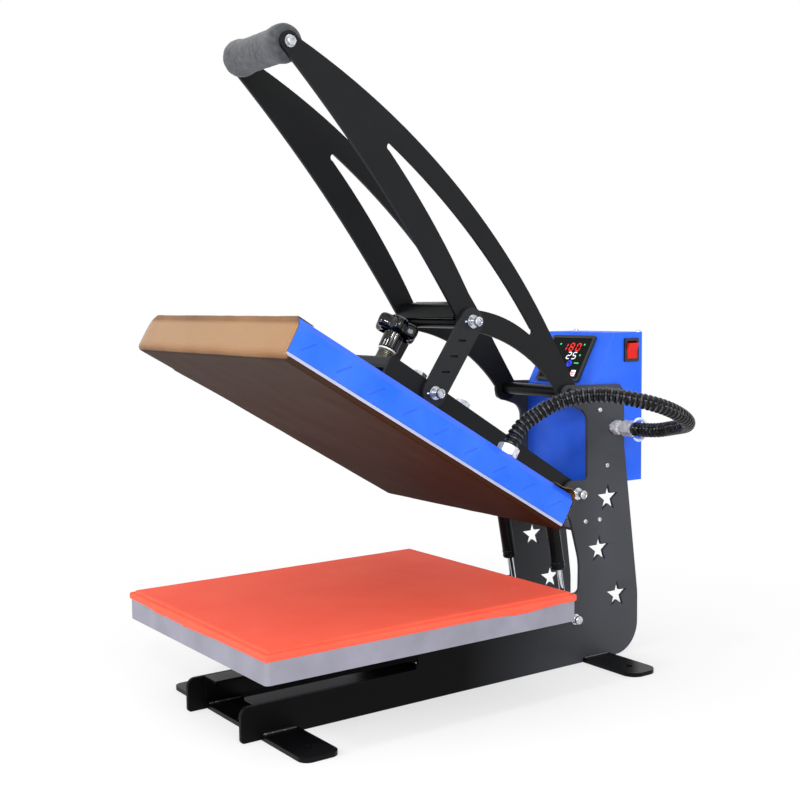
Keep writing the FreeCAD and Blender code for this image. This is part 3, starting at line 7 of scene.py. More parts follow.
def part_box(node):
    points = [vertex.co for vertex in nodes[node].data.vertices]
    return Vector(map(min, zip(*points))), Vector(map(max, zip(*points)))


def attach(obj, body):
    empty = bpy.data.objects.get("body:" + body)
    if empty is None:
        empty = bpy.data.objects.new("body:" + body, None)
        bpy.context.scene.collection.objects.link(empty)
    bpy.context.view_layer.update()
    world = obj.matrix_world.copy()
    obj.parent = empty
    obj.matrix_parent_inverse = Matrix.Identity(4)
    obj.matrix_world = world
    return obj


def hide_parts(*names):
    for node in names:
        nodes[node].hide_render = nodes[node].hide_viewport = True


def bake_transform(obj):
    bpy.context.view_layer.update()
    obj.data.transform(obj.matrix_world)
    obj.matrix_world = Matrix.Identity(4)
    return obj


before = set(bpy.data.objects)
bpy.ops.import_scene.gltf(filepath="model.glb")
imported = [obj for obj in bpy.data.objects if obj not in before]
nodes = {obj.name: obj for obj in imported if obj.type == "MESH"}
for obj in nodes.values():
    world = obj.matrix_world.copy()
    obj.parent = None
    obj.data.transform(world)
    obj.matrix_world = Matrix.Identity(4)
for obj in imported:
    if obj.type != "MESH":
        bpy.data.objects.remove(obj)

scene = bpy.context.scene
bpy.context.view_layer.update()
mm = 0.001


# Node trees
def colour(code):
    parts = [int(code[i:i + 2], 16) / 255 for i in (1, 3, 5)]
    return [c / 12.92 if c <= 0.04045 else ((c + 0.055) / 1.055) ** 2.4 for c in parts] + [1.0]


def addNode(tree, kind, values=None, links=None, **settings):
    node = tree.nodes.new("ShaderNode" + kind)
    for name, setting in settings.items():
        setattr(node, name, setting)
    for socket, value in (values or {}).items():
        node.inputs[socket].default_value = value
    for socket, source in (links or {}).items():
        tree.links.new(source, node.inputs[socket])
    return node


def newMaterial(name, look):
    material = bpy.data.materials.new(name)
    material.use_nodes = True
    shader = material.node_tree.nodes["Principled BSDF"]
    for socket, value in look.items():
        shader.inputs[socket].default_value = value
    return material, material.node_tree


def plug(material, sources):
    tree = material.node_tree
    for socket, source in sources.items():
        tree.links.new(source, tree.nodes["Principled BSDF"].inputs[socket])
    return material


def perMetre(size):
    return 1 / (size * mm)


def waveScale(period):
    return 2 * math.pi / (20 * period * mm)


def addSpot(tree, kind="Object"):
    return addNode(tree, "TexCoord").outputs[kind]


def addNoise(tree, size, detail=2.0, **extra):
    # clouds of about this many millimetres
    values = {"Scale": perMetre(size), "Detail": detail} | extra
    return addNode(tree, "TexNoise", values, {"Vector": addSpot(tree)}).outputs[0]


def addRange(tree, source, low, high, start=0.0, end=1.0):
    values = {"From Min": start, "From Max": end, "To Min": low, "To Max": high}
    return addNode(tree, "MapRange", values, {"Value": source}).outputs[0]


def addMath(tree, operation, first, second, **settings):
    terms = {0: first, 1: second}
    values = {socket: term for socket, term in terms.items() if isinstance(term, float)}
    links = {socket: term for socket, term in terms.items() if socket not in values}
    return addNode(tree, "Math", values, links, operation=operation, **settings).outputs[0]


def addBlend(tree, first, second, mask):
    # each tone is a code or comes from another node
    tones = {6: first, 7: second}
    values = {socket: colour(tone) for socket, tone in tones.items() if isinstance(tone, str)}
    links = {socket: tone for socket, tone in tones.items() if socket not in values}
    return addNode(tree, "Mix", values, links | {0: mask}, data_type="RGBA").outputs[2]


def addBump(tree, strength, depth, height, normal=None):
    links = {"Height": height}
    if normal:
        links["Normal"] = normal
    return addNode(tree, "Bump", {"Strength": strength, "Distance": depth * mm}, links).outputs[0]


# Cut and folded edges look a little rounded, and the mask finds them
def softEdges(tree, radius):
    bevel = addNode(tree, "Bevel", {"Radius": radius * mm}, samples=4).outputs[0]
    flat = addNode(tree, "NewGeometry").outputs["Normal"]
    turn = addNode(tree, "VectorMath", {}, {0: bevel, 1: flat}, operation="DOT_PRODUCT").outputs["Value"]
    return bevel, addRange(tree, turn, 1.0, 0.0, 0.92, 0.998)


def dress(material, *names):
    for name in names:
        for slot in nodes[name].material_slots:
            slot.material = material


# Powder coat on steel: satin, with a fine orange peel, paler where dust lies, and paler along its edges,
# which is partly wear and partly a painted highlight.
# A fade is painted shade: a darker, duller colour and the stretch along Y, in metres, over which it gives
# way.
def powderCoat(
    name, base, dustAndHighlight, roughness, grain=1.1, shine=0.3, edgeWearAndHighlight=0.35, radius=0.7, fade=None, dusty=0.3
):
    material, tree = newMaterial(name, {"IOR": 1.5, "Specular IOR Level": shine})
    rounded, edge = softEdges(tree, radius)
    # the real peel is about 0.4 mm, drawn coarser so that it shows
    peel = addNoise(tree, grain)
    dust = addNoise(tree, 70, 4.0)
    tone = addBlend(tree, base, dustAndHighlight, addRange(tree, dust, 0.0, dusty, 0.35, 0.75))
    # painted shade: the coat turns darker and less glossy towards low Y, under the table
    if fade:
        dark, start, end = fade
        along = addNode(tree, "SeparateXYZ", {}, {0: addSpot(tree)}).outputs["Y"]
        run = addRange(tree, along, 0.0, 1.0, start, end)
        tone = addBlend(tree, dark, tone, run)
        plug(material, {"Specular IOR Level": addRange(tree, run, 0.08, shine)})
    # the edge mask pales the edges towards the light tone: worn paint and a painted highlight together
    return plug(material, {
        "Base Color": addBlend(tree, tone, dustAndHighlight, addMath(tree, "MULTIPLY", edge, edgeWearAndHighlight)),
        "Roughness": addRange(tree, dust, roughness - 0.06, roughness + 0.1),
        "Normal": addBump(tree, 0.12, 0.4, peel, rounded),
    })


# the uprights are a grey black, and the long noses under the table darken to nearly black, which is
# painted shade
satinBlack = powderCoat("satinBlackPowderCoat", "#37393E", "#4A4D54", 0.45, fade=("#070708", 0.02, 0.3))
# the moving parts, and the rails and feet most of all, are darker copies of the same black coat, which is
# painted shade
linkBlack = powderCoat("linkBlackPowderCoat", "#1A1C1E", "#2A2D30", 0.45, shine=0.25)
deepBlack = powderCoat("deepBlackPowderCoat", "#0D0E10", "#191B1E", 0.42, shine=0.2)
railBlack = powderCoat("railBlackPowderCoat", "#060607", "#131416", 0.3, shine=0.11)
# a full blue with a coarser peel on the folded sheets, and thick glossy enamel on welds and tubes
# the blue's wide, strong edge mask paints a highlight along its folds
bluePowder = powderCoat(
    "bluePowderCoat", "#1F60EE", "#4F83FA", 0.38, grain=1.4, shine=0.22, edgeWearAndHighlight=0.45, radius=1.5, dusty=0.35
)
weldEnamel = powderCoat("enamelledWeldBead", "#17181A", "#3C3E42", 0.16, grain=0.9, shine=0.9)
tubeEnamel = powderCoat("glossBlackEnamel", "#08090A", "#141517", 0.26, grain=2.0, shine=0.13)


# Aluminium plate, milled and bead blasted: pale grey with a lilac cast and no mirror
def castPlate(name, base, pale, roughness):
    material, tree = newMaterial(name, {"Metallic": 0.75})
    rounded, edge = softEdges(tree, 1.0)
    # blasting grit of about 0.3 mm, drawn at 1 mm
    grit = addNoise(tree, 1.0, 3.0)
    cloud = addNoise(tree, 45, 5.0)
    tone = addBlend(tree, base, pale, addRange(tree, cloud, 0.0, 1.0, 0.3, 0.7))
    # the edges pale towards #E4E2EC, a painted highlight
    return plug(material, {
        "Base Color": addBlend(tree, tone, "#E4E2EC", addMath(tree, "MULTIPLY", edge, 0.5)),
        "Roughness": addRange(tree, cloud, roughness - 0.08, roughness + 0.08),
        "Normal": addBump(tree, 0.2, 0.3, grit, rounded),
    })


# the table is greyed by use, the heater's bare edge is brighter
blastedAluminium = castPlate("blastedAluminium", "#94939F", "#A4A2B2", 0.45)
milledAluminium = castPlate("milledAluminium", "#B4B9D6", "#C6CAE4", 0.4)


# Bright parts: plated, turned and drawn metal, each with its own fine lines or stain
def plated(name, base, stain, roughness, lines, depth=0.15, metallic=1.0):
    material, tree = newMaterial(name, {"Metallic": metallic})
    film = addNoise(tree, 9, 4.0)
    return plug(material, {
        "Base Color": addBlend(tree, base, stain, addRange(tree, film, 0.0, 1.0, 0.35, 0.7)),
        "Roughness": addRange(tree, film, roughness * 0.7, roughness * 1.4),
        "Normal": addBump(tree, depth, 0.2, addNoise(tree, lines)),
    })


brightZinc = plated("brightZincPlate", "#E2E4E8", "#A2A6AE", 0.16, 0.8, 0.1, 0.85)
springSteel = plated("springSteelWire", "#A9A69F", "#7D7A74", 0.35, 1.2)
hardChrome = plated("hardChrome", "#DADDE2", "#B8BDC6", 0.08, 3.0, 0.03)
nickelPlate = plated("nickelPlatedBrass", "#F0F0F8", "#A3A3AE", 0.15, 1.5, 0.15, 0.4)
turnedBrass = plated("turnedBronze", "#8B897C", "#66655A", 0.3, 0.9)
heaterSheath = plated("heaterSheath", "#8B8780", "#6E665C", 0.45, 1.0)


# Moulded plastics: a spark-eroded skin with soft highlights
def moulded(name, base, roughness, grain, strength, extra=None):
    look = {"Base Color": colour(base), "IOR": 1.5} | (extra or {})
    material, tree = newMaterial(name, look)
    return plug(material, {
        "Roughness": addRange(tree, addNoise(tree, 12), roughness * 0.85, roughness * 1.2),
        "Normal": addBump(tree, strength, 0.3, addNoise(tree, grain)),
    })


# polished resin for the knob, matt nylon and film for the panel, a glowing translucent rocker
blackPhenolic = moulded("blackPhenolicResin", "#030304", 0.07, 6, 0.002, {"Specular IOR Level": 0.45})
bezelNylon = moulded("blackNylon", "#15161A", 0.35, 0.9, 0.2)
displayFilm = moulded("displayFilm", "#040807", 0.35, 4.0, 0.02, {"Specular IOR Level": 0.08})
displayFrame = moulded("displayFrame", "#2E2E2B", 0.45, 1.0, 0.15, {"Specular IOR Level": 0.3})
whiteNylon = moulded("whiteNylon", "#E9EAEC", 0.35, 1.2, 0.1)
paleNylon = moulded("paleBlueNylon", "#D2DEF4", 0.3, 1.2, 0.1)
rockerGlow = {"Specular IOR Level": 0.25, "Emission Color": colour("#FF2004"), "Emission Strength": 0.3}
rockerRed = moulded("redPolycarbonate", "#B00602", 0.12, 3.0, 0.03, rockerGlow)
relayBlack = moulded("relayHousing", "#1A1B1E", 0.5, 0.8, 0.2)
plugRubber = moulded("blackRubberPlug", "#0B0C0E", 0.6, 1.2, 0.2, {"Specular IOR Level": 0.2})


# Corrugated polyamide: black and glossy, with a painted highlight: the crests are drawn pale all round, in
# patches
def corrugatedPolyamide():
    material, tree = newMaterial("ribbedPolyamideHose", {"IOR": 1.53, "Specular IOR Level": 0.22})
    crest = addNode(tree, "Attribute", attribute_name="crest").outputs["Fac"]
    patchNoise = addNoise(tree, 6, 3.0)
    # painted highlight: crest rings turn pale where the patch noise is high
    pale = addMath(tree, "MULTIPLY", crest, addRange(tree, patchNoise, 0.0, 1.0, 0.42, 0.62))
    return plug(material, {
        "Base Color": addBlend(tree, "#020203", "#4A4D54", pale),
        "Roughness": addRange(tree, patchNoise, 0.04, 0.12),
    })


# Silicone rubber: matt, soft and slightly translucent, with moulding marks and dust
def siliconeRubber():
    look = {
        "IOR": 1.41,
        "Subsurface Weight": 0.15,
        "Subsurface Radius": (0.004, 0.0012, 0.0008),
        "Subsurface Scale": 1.0,
        "Roughness": 0.7,
        "Specular IOR Level": 0.3,
    }
    material, tree = newMaterial("redSiliconeRubber", look)
    cloud = addRange(tree, addNoise(tree, 60, 5.0), 0.0, 1.0, 0.3, 0.7)
    return plug(material, {
        "Base Color": addBlend(tree, "#F0563F", "#F35E47", cloud),
        "Normal": addBump(tree, 0.15, 0.4, addNoise(tree, 1.6, 3.0)),
    })


# Foam rubber: closed cells with a dry, pitted skin
def foamRubber():
    look = {"IOR": 1.45, "Sheen Weight": 0.25, "Sheen Roughness": 0.5, "Roughness": 0.85}
    material, tree = newMaterial("blackFoamRubber", look)
    # cells of about 0.8 mm, drawn at 1.6 mm
    cells = addNode(tree, "TexVoronoi", {"Scale": perMetre(1.6)}, {"Vector": addSpot(tree)})
    cloud = addNoise(tree, 7, 5.0)
    pits = addBump(tree, 0.5, 0.6, cells.outputs["Distance"])
    return plug(material, {
        "Base Color": addBlend(tree, "#2B2D31", "#45474C", addRange(tree, cloud, 0.0, 1.0, 0.3, 0.72)),
        "Normal": addBump(tree, 0.5, 2, cloud, pits),
    })


# Glass cloth coated with PTFE: a waxy weave, tan and glossy where it is new, dark where it is baked and
# where painted shade is drawn in
def glassCloth():
    material, tree = newMaterial("coatedGlassCloth", {"IOR": 1.38})
    # threads stand 0.6 mm apart, drawn at 1.8 mm so that the weave shows
    values, links = {"Scale": waveScale(1.8)}, {"Vector": addSpot(tree, "UV")}
    warp, weft = (
        addNode(tree, "TexWave", values, links, bands_direction=way).outputs[1] for way in ("X", "Y")
    )
    weave = addMath(tree, "MULTIPLY", warp, weft)
    baked = addNode(tree, "Attribute", attribute_name="baked").outputs["Fac"]
    drift = addRange(tree, addNoise(tree, 90, 5.0), -0.12, 0.12)
    depth = addMath(tree, "ADD", baked, drift, use_clamp=True)
    ramp = addNode(tree, "ValToRGB", {}, {"Fac": depth})
    steps = [(0.0, "#98724A"), (0.2, "#8A6139"), (0.45, "#3D2E25"), (0.7, "#3E251A"), (1.0, "#371A0F")]
    band = ramp.color_ramp
    while len(band.elements) < len(steps):
        band.elements.new(0.5)
    for element, (place, code) in zip(band.elements, steps):
        element.position = place
        element.color = colour(code)
    thread = addRange(tree, weave, 0.9, 1.04)
    tone = addNode(tree, "VectorMath", {}, {0: ramp.outputs[0], 1: thread}, operation="MULTIPLY")
    return plug(material, {
        "Base Color": tone.outputs[0],
        "Roughness": addRange(tree, depth, 0.22, 0.6),
        "Specular IOR Level": addRange(tree, depth, 0.7, 0.02, 0.0, 0.45),
        "Normal": addBump(tree, 0.18, 0.3, weave),
    })


# Needled glass fibre: white, fluffy, with short fibres
def needledFibre():
    material, tree = newMaterial("needledGlassFibre", {"Roughness": 0.95, "Sheen Weight": 0.4})
    fibres = addNoise(tree, 2.5, 5.0, Distortion=1.5)
    return plug(material, {
        "Base Color": addBlend(tree, "#C9C5BA", "#ECE9E0", fibres),
        "Normal": addBump(tree, 0.6, 1, fibres),
    })


# Circuit board: green solder mask over a grid of copper tracks
def solderMask():
    material, tree = newMaterial("greenSolderMask", {"Roughness": 0.3, "Coat Weight": 0.3})
    values = {"Scale": perMetre(8), "Mortar Size": 0.03}
    tracks = addNode(tree, "TexBrick", values, {"Vector": addSpot(tree)}).outputs["Fac"]
    return plug(material, {"Base Color": addBlend(tree, "#0F4A2A", "#1B6B3E", tracks)})


# Lit segments and icons behind the display film, a little uneven
def litMark(name, code, strength):
    material, tree = newMaterial(name, {"Roughness": 0.3, "Emission Strength": strength})
    level = addRange(tree, addNoise(tree, 1.5), 0.7, 1.0)
    glow = addNode(tree, "VectorMath", {0: colour(code)[:3]}, {1: level}, operation="MULTIPLY").outputs[0]
    return plug(material, {"Base Color": glow, "Emission Color": glow})


hosePolyamide = corrugatedPolyamide()
redSilicone = siliconeRubber()
blackFoam = foamRubber()
ptfeCloth = glassCloth()
glassFibre = needledFibre()
circuitBoard = solderMask()
redLight = litMark("redSegments", "#E81208", 0.75)
whiteLight = litMark("whiteSegments", "#F1F4FF", 0.8)
blueLight = litMark("blueIcon", "#1438F0", 0.9)
greenLight = litMark("greenLamp", "#37D27E", 0.7)

dress(satinBlack, "side_plate_left", "side_plate_right", "upright_tie_plate")
dress(linkBlack, "link_left", "link_right", "carrier_bridge")
dress(deepBlack, "carrier_arm_left", "carrier_arm_right", "carrier_web")
dress(deepBlack, "handle_plate_left", "handle_plate_right", "handle_bar")
dress(railBlack, "front_foot_bar", "rear_foot_bar", "platen_support", "base_rail_left", "base_rail_right")
dress(tubeEnamel, "handle_pivot_shaft", "handle_pivot_tube", "link_cross_tube", "handle_stiffener")
dress(tubeEnamel, "carrier_pivot_tube", "spindle_nut", "spindle_seat", "pressure_plate", "strut_cylinders")
dress(blastedAluminium, "lower_platen")
dress(milledAluminium, "heater_platen")
dress(bluePowder, "control_box", "control_box_cover", "platen_cover")
dress(brightZinc, "carrier_pivot_shaft", "strut_pivot_rod", "strut_studs")
dress(hardChrome, "strut_rods")
dress(heaterSheath, "heating_element")
dress(displayFrame, "display")
dress(bezelNylon, "switch_bezel", "mains_inlet")
dress(rockerRed, "switch_rocker")
dress(relayBlack, "solid_state_relay")
dress(circuitBoard, "control_board")
dress(whiteNylon, "knob_washer")
print("materials made")


# Shapes: each is a list of points in millimetres and a list of faces
def skinned(rings, closed=False):
    faces = []
    pairs = list(zip(rings, rings[1:]))
    if closed:
        pairs.append((rings[-1], rings[0]))
    for low, high in pairs:
        for i in range(len(low)):
            j = (i + 1) % len(low)
            face = list(dict.fromkeys((low[i], low[j], high[j], high[i])))
            if len(face) > 2:
                faces.append(face)
    return faces


def ringed(rings, closed=False):
    points, indices = [], []
    count = max(len(ring) for ring in rings)
    for ring in rings:
        start = len(points)
        points += ring
        indices.append([start] * count if len(ring) == 1 else list(range(start, start + count)))
    return points, skinned(indices, closed)


def polar(reach, sides, height):
    turns = [2 * math.pi * i / sides for i in range(sides)]
    return [Vector((reach(turn) * math.cos(turn), reach(turn) * math.sin(turn), height)) for turn in turns]


def circle(radius, sides, height):
    # a radius of nought makes a tip
    return polar(lambda turn: radius, sides if radius else 1, height)


def turned(profile, sides=32, closed=False):
    return ringed([circle(radius, sides, height) for radius, height in profile], closed)


def threaded(radius, low, high, pitch, depth, flank=0.38):
    profile = []
    for i in range(int((high - low) / pitch)):
        foot = low + i * pitch
        crest = [(radius, foot + pitch * flank), (radius, foot + pitch * (1 - flank))]
        profile += [(radius - depth, foot)] + crest
    return profile + [(radius - depth, high)]


def hexagonal(corner, height, bore=0.0, sides=48, chamfer=0.577, mouth=0.6):
    # both faces are chamfered at 30 degrees, and a bore has a small chamfer too
    flat = corner * math.cos(math.pi / 6)
    crown = flat * 0.97

    def reach(turn):
        return flat / math.cos((turn + math.pi / 6) % (math.pi / 3) - math.pi / 6)

    def rim(level, sign):
        ring = polar(reach, sides, level)
        for point in ring:
            point.z += sign * (math.hypot(point.x, point.y) - crown) * chamfer
        return ring

    rings = [circle(crown, sides, 0), rim(0, 1), rim(height, -1), circle(crown, sides, height)]
    if bore:
        mouths = [circle(bore + mouth, sides, height), circle(bore, sides, height - mouth)]
        return ringed([circle(bore, sides, mouth)] + rings + mouths, True)
    return ringed([circle(0, 1, 0)] + rings + [circle(0, 1, height)])


def swept(path, radii, sides):
    ahead = (path[1] - path[0]).normalized()
    across = ahead.orthogonal().normalized()
    turns = [2 * math.pi * k / sides for k in range(sides)]
    rings = [[path[0]]]
    for i, (centre, radius) in enumerate(zip(path, radii)):
        heading = (path[min(i + 1, len(path) - 1)] - path[max(i - 1, 0)]).normalized()
        across = (across - heading * across.dot(heading)).normalized()
        other = heading.cross(across)
        rings.append([centre + (across * math.cos(t) + other * math.sin(t)) * radius for t in turns])
    return ringed(rings + [[path[-1]]])


def boxed(low, high, bevel):
    mesh = bmesh.new()
    bmesh.ops.create_cube(mesh, size=1)
    size = Vector(high) - Vector(low)
    for vertex in mesh.verts:
        vertex.co = Vector(low) + Vector((c + 0.5) * s for c, s in zip(vertex.co, size))
    bmesh.ops.bevel(mesh, geom=mesh.edges[:], offset=bevel, segments=2, affect="EDGES")
    mesh.verts.index_update()
    shape = [v.co.copy() for v in mesh.verts], [[v.index for v in face.verts] for face in mesh.faces]
    mesh.free()
    return shape


def moved(shape, place):
    return [place @ point for point in shape[0]], shape[1]


def joined(shapes):
    points, faces = [], []
    for some, more in shapes:
        faces += [[index + len(points) for index in face] for face in more]
        points += some
    return points, faces


def addPiece(name, shape, material, body=None, replaced=(), smooth=35):
    mesh = bpy.data.meshes.new(name)
    mesh.from_pydata([point * mm for point in shape[0]], [], shape[1])
    mesh.materials.append(material)
    mesh.shade_smooth()
    mesh.set_sharp_from_angle(angle=math.radians(smooth))
    piece = bpy.data.objects.new(name, mesh)
    scene.collection.objects.link(piece)
    if body:
        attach(piece, body)
    if replaced:
        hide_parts(*replaced)
    return piece


def middle(name):
    low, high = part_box(name)
    return (low + high) / 2 / mm


def outward(side, spot):
    # Z of the shape points out of the machine's left or right side
    return Matrix.Translation(spot) @ Matrix.Rotation(math.radians(90 * side), 4, "Y")


def sided(shape, across, y, z):
    # the same shape on both sides of the machine
    return [moved(shape, outward(side, Vector((side * across, y, z)))) for side in (-1, 1)]


def share(value, start, end):
    # how far a value has come from the start to the end, from nought to one
    return max(0.0, min(1.0, (value - start) / (end - start)))


def zone(value, start, end, ramp):
    # one between the start and the end, and nought beyond them
    return min(share(value, start, start + ramp), share(value, end, end - ramp))


# Frames of the swinging parts and of the sloping panel, with the press open
opened = {"tilt": 30.2, "spindleReach": 372.5, "panelFoot": (0, 281.5, 430), "panelRun": (47.5, 83)}
carrierTilt = Matrix.Rotation(math.radians(-opened["tilt"]), 4, "X")
carrierPlace = Matrix.Translation(middle("carrier_pivot_shaft")) @ carrierTilt
knobPlace = carrierPlace @ Matrix.Translation((0, -opened["spindleReach"], 0))
panelDepth, panelRise = opened["panelRun"]
panelTilt = Matrix.Rotation(math.atan2(panelRise, panelDepth), 4, "X")
panelPlace = Matrix.Translation(opened["panelFoot"]) @ panelTilt
strutFoot, strutHead = middle("strut_pivot_rod"), middle("strut_studs")
strutTilt = math.atan2(strutFoot.y - strutHead.y, strutHead.z - strutFoot.z)
strutPlace = Matrix.Translation(strutFoot) @ Matrix.Rotation(strutTilt, 4, "X")

# The camera stands right of the front, at the height of the raised platen
camera = {
    "eye": (1.4445, -1.0565, 0.5638),
    "azimuth": 55.03,
    "pitch": 4.665,
    "roll": -0.584,
    "lens": 55.0,
    "shift": (0.0106, 0.0025),
}
cameraData = bpy.data.cameras.new("camera")
cameraData.sensor_width = 36
cameraData.lens = camera["lens"]
cameraData.shift_x, cameraData.shift_y = camera["shift"]
cameraObject = bpy.data.objects.new("camera", cameraData)
cameraObject.matrix_world = (
    Matrix.Translation(camera["eye"])
    @ Matrix.Rotation(math.radians(camera["azimuth"]), 4, "Z")
    @ Matrix.Rotation(math.radians(90 - camera["pitch"]), 4, "X")
    @ Matrix.Rotation(math.radians(camera["roll"]), 4, "Z")
)
scene.collection.objects.link(cameraObject)
scene.camera = cameraObject

# Ribbed hose from the control box to the heater. A rib's outline is a share of the pitch and a depth
# below the crest at each point.
hose = {
    "route": [
        (0.1213, 0.325, 0.365), (0.1613, 0.325, 0.365), (0.2013, 0.323, 0.373), (0.2643, 0.295, 0.385),
        (0.2863, 0.227, 0.413), (0.2643, 0.168, 0.430), (0.231, 0.138, 0.435), (0.198, 0.104, 0.427),
        (0.182, 0.071, 0.4085), (0.178, 0.0378, 0.388), (0.178, 0.0257, 0.3672),
    ],
    "radius": 11,
    "pitch": 7.5,
    "sides": 28,
    "length": 0.477,
    "foot": [(0.0, 1.8), (0.28, 1.8), (0.39, 0.8), (0.47, 0.12)],
    "crest": [(0.54, 0), (0.65, 0), (0.76, 0), (0.83, 0.12), (0.91, 0.8)],
}


def routeLine(route):
    curve = bpy.data.curves.new("hoseRoute", "CURVE")
    curve.dimensions = "3D"
    curve.resolution_u = 24
    spline = curve.splines.new("NURBS")
    spline.points.add(len(route) - 1)
    for point, place in zip(spline.points, route):
        point.co = (*place, 1)
    spline.order_u = 3
    spline.use_endpoint_u = True
    guide = bpy.data.objects.new("hoseRoute", curve)
    line = bpy.data.meshes.new_from_object(guide)
    places = [vertex.co / mm for vertex in line.vertices]
    bpy.data.meshes.remove(line)
    bpy.data.objects.remove(guide)
    return places


def spaced(line, marks):
    # points at these distances along a line
    found, i, run = [], 0, 0.0
    for mark in marks:
        while i < len(line) - 2 and run + (line[i + 1] - line[i]).length < mark:
            run += (line[i + 1] - line[i]).length
            i += 1
        step = (line[i + 1] - line[i]).length
        found.append(line[i].lerp(line[i + 1], min((mark - run) / step, 1)))
    return found


hoseLine = routeLine(hose["route"])
hoseRun = sum((b - a).length for a, b in zip(hoseLine, hoseLine[1:]))
ribs = int(hoseRun / hose["pitch"])
ribOutline = hose["foot"] + hose["crest"]
marks = [((i + part) * hoseRun / ribs, depth) for i in range(ribs) for part, depth in ribOutline]
marks.append((hoseRun, ribOutline[0][1]))
hosePath = spaced(hoseLine, [along for along, depth in marks])
hoseShape = swept(hosePath, [hose["radius"] - depth for along, depth in marks], hose["sides"])
hosePiece = addPiece("ribbedHose", hoseShape, hosePolyamide, smooth=60)
# the crest share tells the material where to paint its highlight
crestShares = [0.0]
for along, depth in marks:
    crestShares += [float(depth == 0)] * hose["sides"]
crest = hosePiece.data.attributes.new("crest", "FLOAT", "POINT")
crest.data.foreach_set("value", crestShares + [0.0])
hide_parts("conduit")
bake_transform(hosePiece)

# An open snap ring stands behind the hose, its gap to the front and its tips thinner
clip = {"along": 10.5, "radius": 16.4, "wire": 2.4, "gap": 50, "steps": 40, "tip": 0.55, "swell": 0.15}
ringSpot = spaced(hoseLine, [clip["along"]])[0]
clipGap, steps = math.radians(clip["gap"]), clip["steps"]
clipPath, clipWire = [], []
for i in range(steps + 1):
    turn = clipGap + (2 * math.pi - 2 * clipGap) * i / steps
    clipPath.append(ringSpot + Vector((0, -math.cos(turn), math.sin(turn))) * clip["radius"])
    clipWire.append(clip["wire"] * min(1.0, clip["tip"] + clip["swell"] * min(i, steps - i)))
ringShape = swept(clipPath, clipWire, 14)
ringPiece = addPiece("hoseLockRing", ringShape, paleNylon, "base", smooth=60)
print("hose made,", round(hoseRun), "mm long")

# Hose fittings: a foot hexagon, a threaded neck and a clamping hexagon, each a radius and a length
fittings = {
    "bore": 8.2,
    "shank": 6,
    "pitch": 1.4,
    "depth": 0.6,
    "base": ((11.4, 12), (8.6, 7), (12.6, 22)),
    "platen": ((13, 1), (11, 0.5), (15.2, 14.5)),
    "basePlace": (325, 365),
    "platenPlace": (178, -240, -40),
    "turn": 0.35,
}


def hoseFitting(foot, neck, nut):
    bore, shank, seat = fittings["bore"], fittings["shank"], foot[1] + neck[1]
    thread = [(bore, -shank), (neck[0], -shank)]
    thread += threaded(neck[0], 1 - shank, seat, fittings["pitch"], fittings["depth"]) + [(bore, seat)]
    grip = moved(hexagonal(nut[0], nut[1], bore), Matrix.Translation((0, 0, seat)))
    parts = [hexagonal(foot[0], foot[1], bore), turned(thread, 48, True), grip]
    return moved(joined(parts), Matrix.Rotation(fittings["turn"], 4, "Z"))


def addFitting(name, place, sizes, body, replaced):
    addPiece(name, moved(hoseFitting(*sizes), place), nickelPlate, body, [replaced])


baseSpot = Vector((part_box("side_plate_right")[1].x / mm, *fittings["basePlace"]))
addFitting("baseHoseFitting", outward(1, baseSpot), fittings["base"], "base", "base_conduit_gland")
platenSpot = carrierPlace @ Matrix.Translation(fittings["platenPlace"])
addFitting("platenHoseFitting", platenSpot, fittings["platen"], "upper_platen", "platen_conduit_gland")

# Foam grip: fuller at the ends and drawn in at the middle. Its outline is a radius at each distance from
# the end.
grip = {
    "half": 68.4,
    "waist": 22.6,
    "bore": 9.6,
    "outline": [
        (9.6, 0), (18, 0), (22, 1.6), (24.2, 4.5), (25, 8), (24.9, 16), (23.8, 24), (22.8, 33), (22.6, 42)
    ],
    "middle": range(-20, 21, 8),
    "dents": ((0.45, 0.11), (0.2, 0.4)),
}
gripSpot = middle("handle_bar")
ends = [(radius, along - grip["half"]) for radius, along in grip["outline"]]
gripOutline = ends + [(grip["waist"], x) for x in grip["middle"]]
gripOutline += [(radius, -along) for radius, along in reversed(ends)]
gripPoints, gripFaces = turned(gripOutline, 72, True)
for point in gripPoints:
    reach = math.hypot(point.x, point.y)
    if reach > grip["bore"] + 2:
        dent = sum(depth * noise.noise(point * scale) for depth, scale in grip["dents"])
        point.xy = point.xy * (1 + dent / reach)
gripShape = moved((gripPoints, gripFaces), outward(1, gripSpot))
gripPiece = addPiece("foamGrip", gripShape, blackFoam, "handle", ["grip"], 60)

# Silicone pad: a raised field, a lower border and an edge that hangs unevenly in places. The levels are
# heights and insets of its side, and the field insets carry on across the top.
padMat = {
    "half": (201.5, 251.5),
    "corner": 3.5,
    "levels": [
        (0, 2.4), (-0.2, 0.8), (0.8, 0.1), (7.2, 0.0), (8.2, 0.5), (8.7, 1.5), (9.0, 4.6), (8.0, 5.6),
        (10.9, 6.8), (11.8, 8), (12, 9.6),
    ],
    "field": [14, 40, 80, 130, 170, 195],
    "along": 40,
    "turn": 5,
    "rim": 6.5,
    "frontTear": (-150, 70, 40),
    "rightTear": (80, 215, 40),
    "drop": 5.6,
    "sag": 1.2,
}
padLow, padHigh = (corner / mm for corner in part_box("silicone_pad"))
padMiddle = (padLow + padHigh) / 2


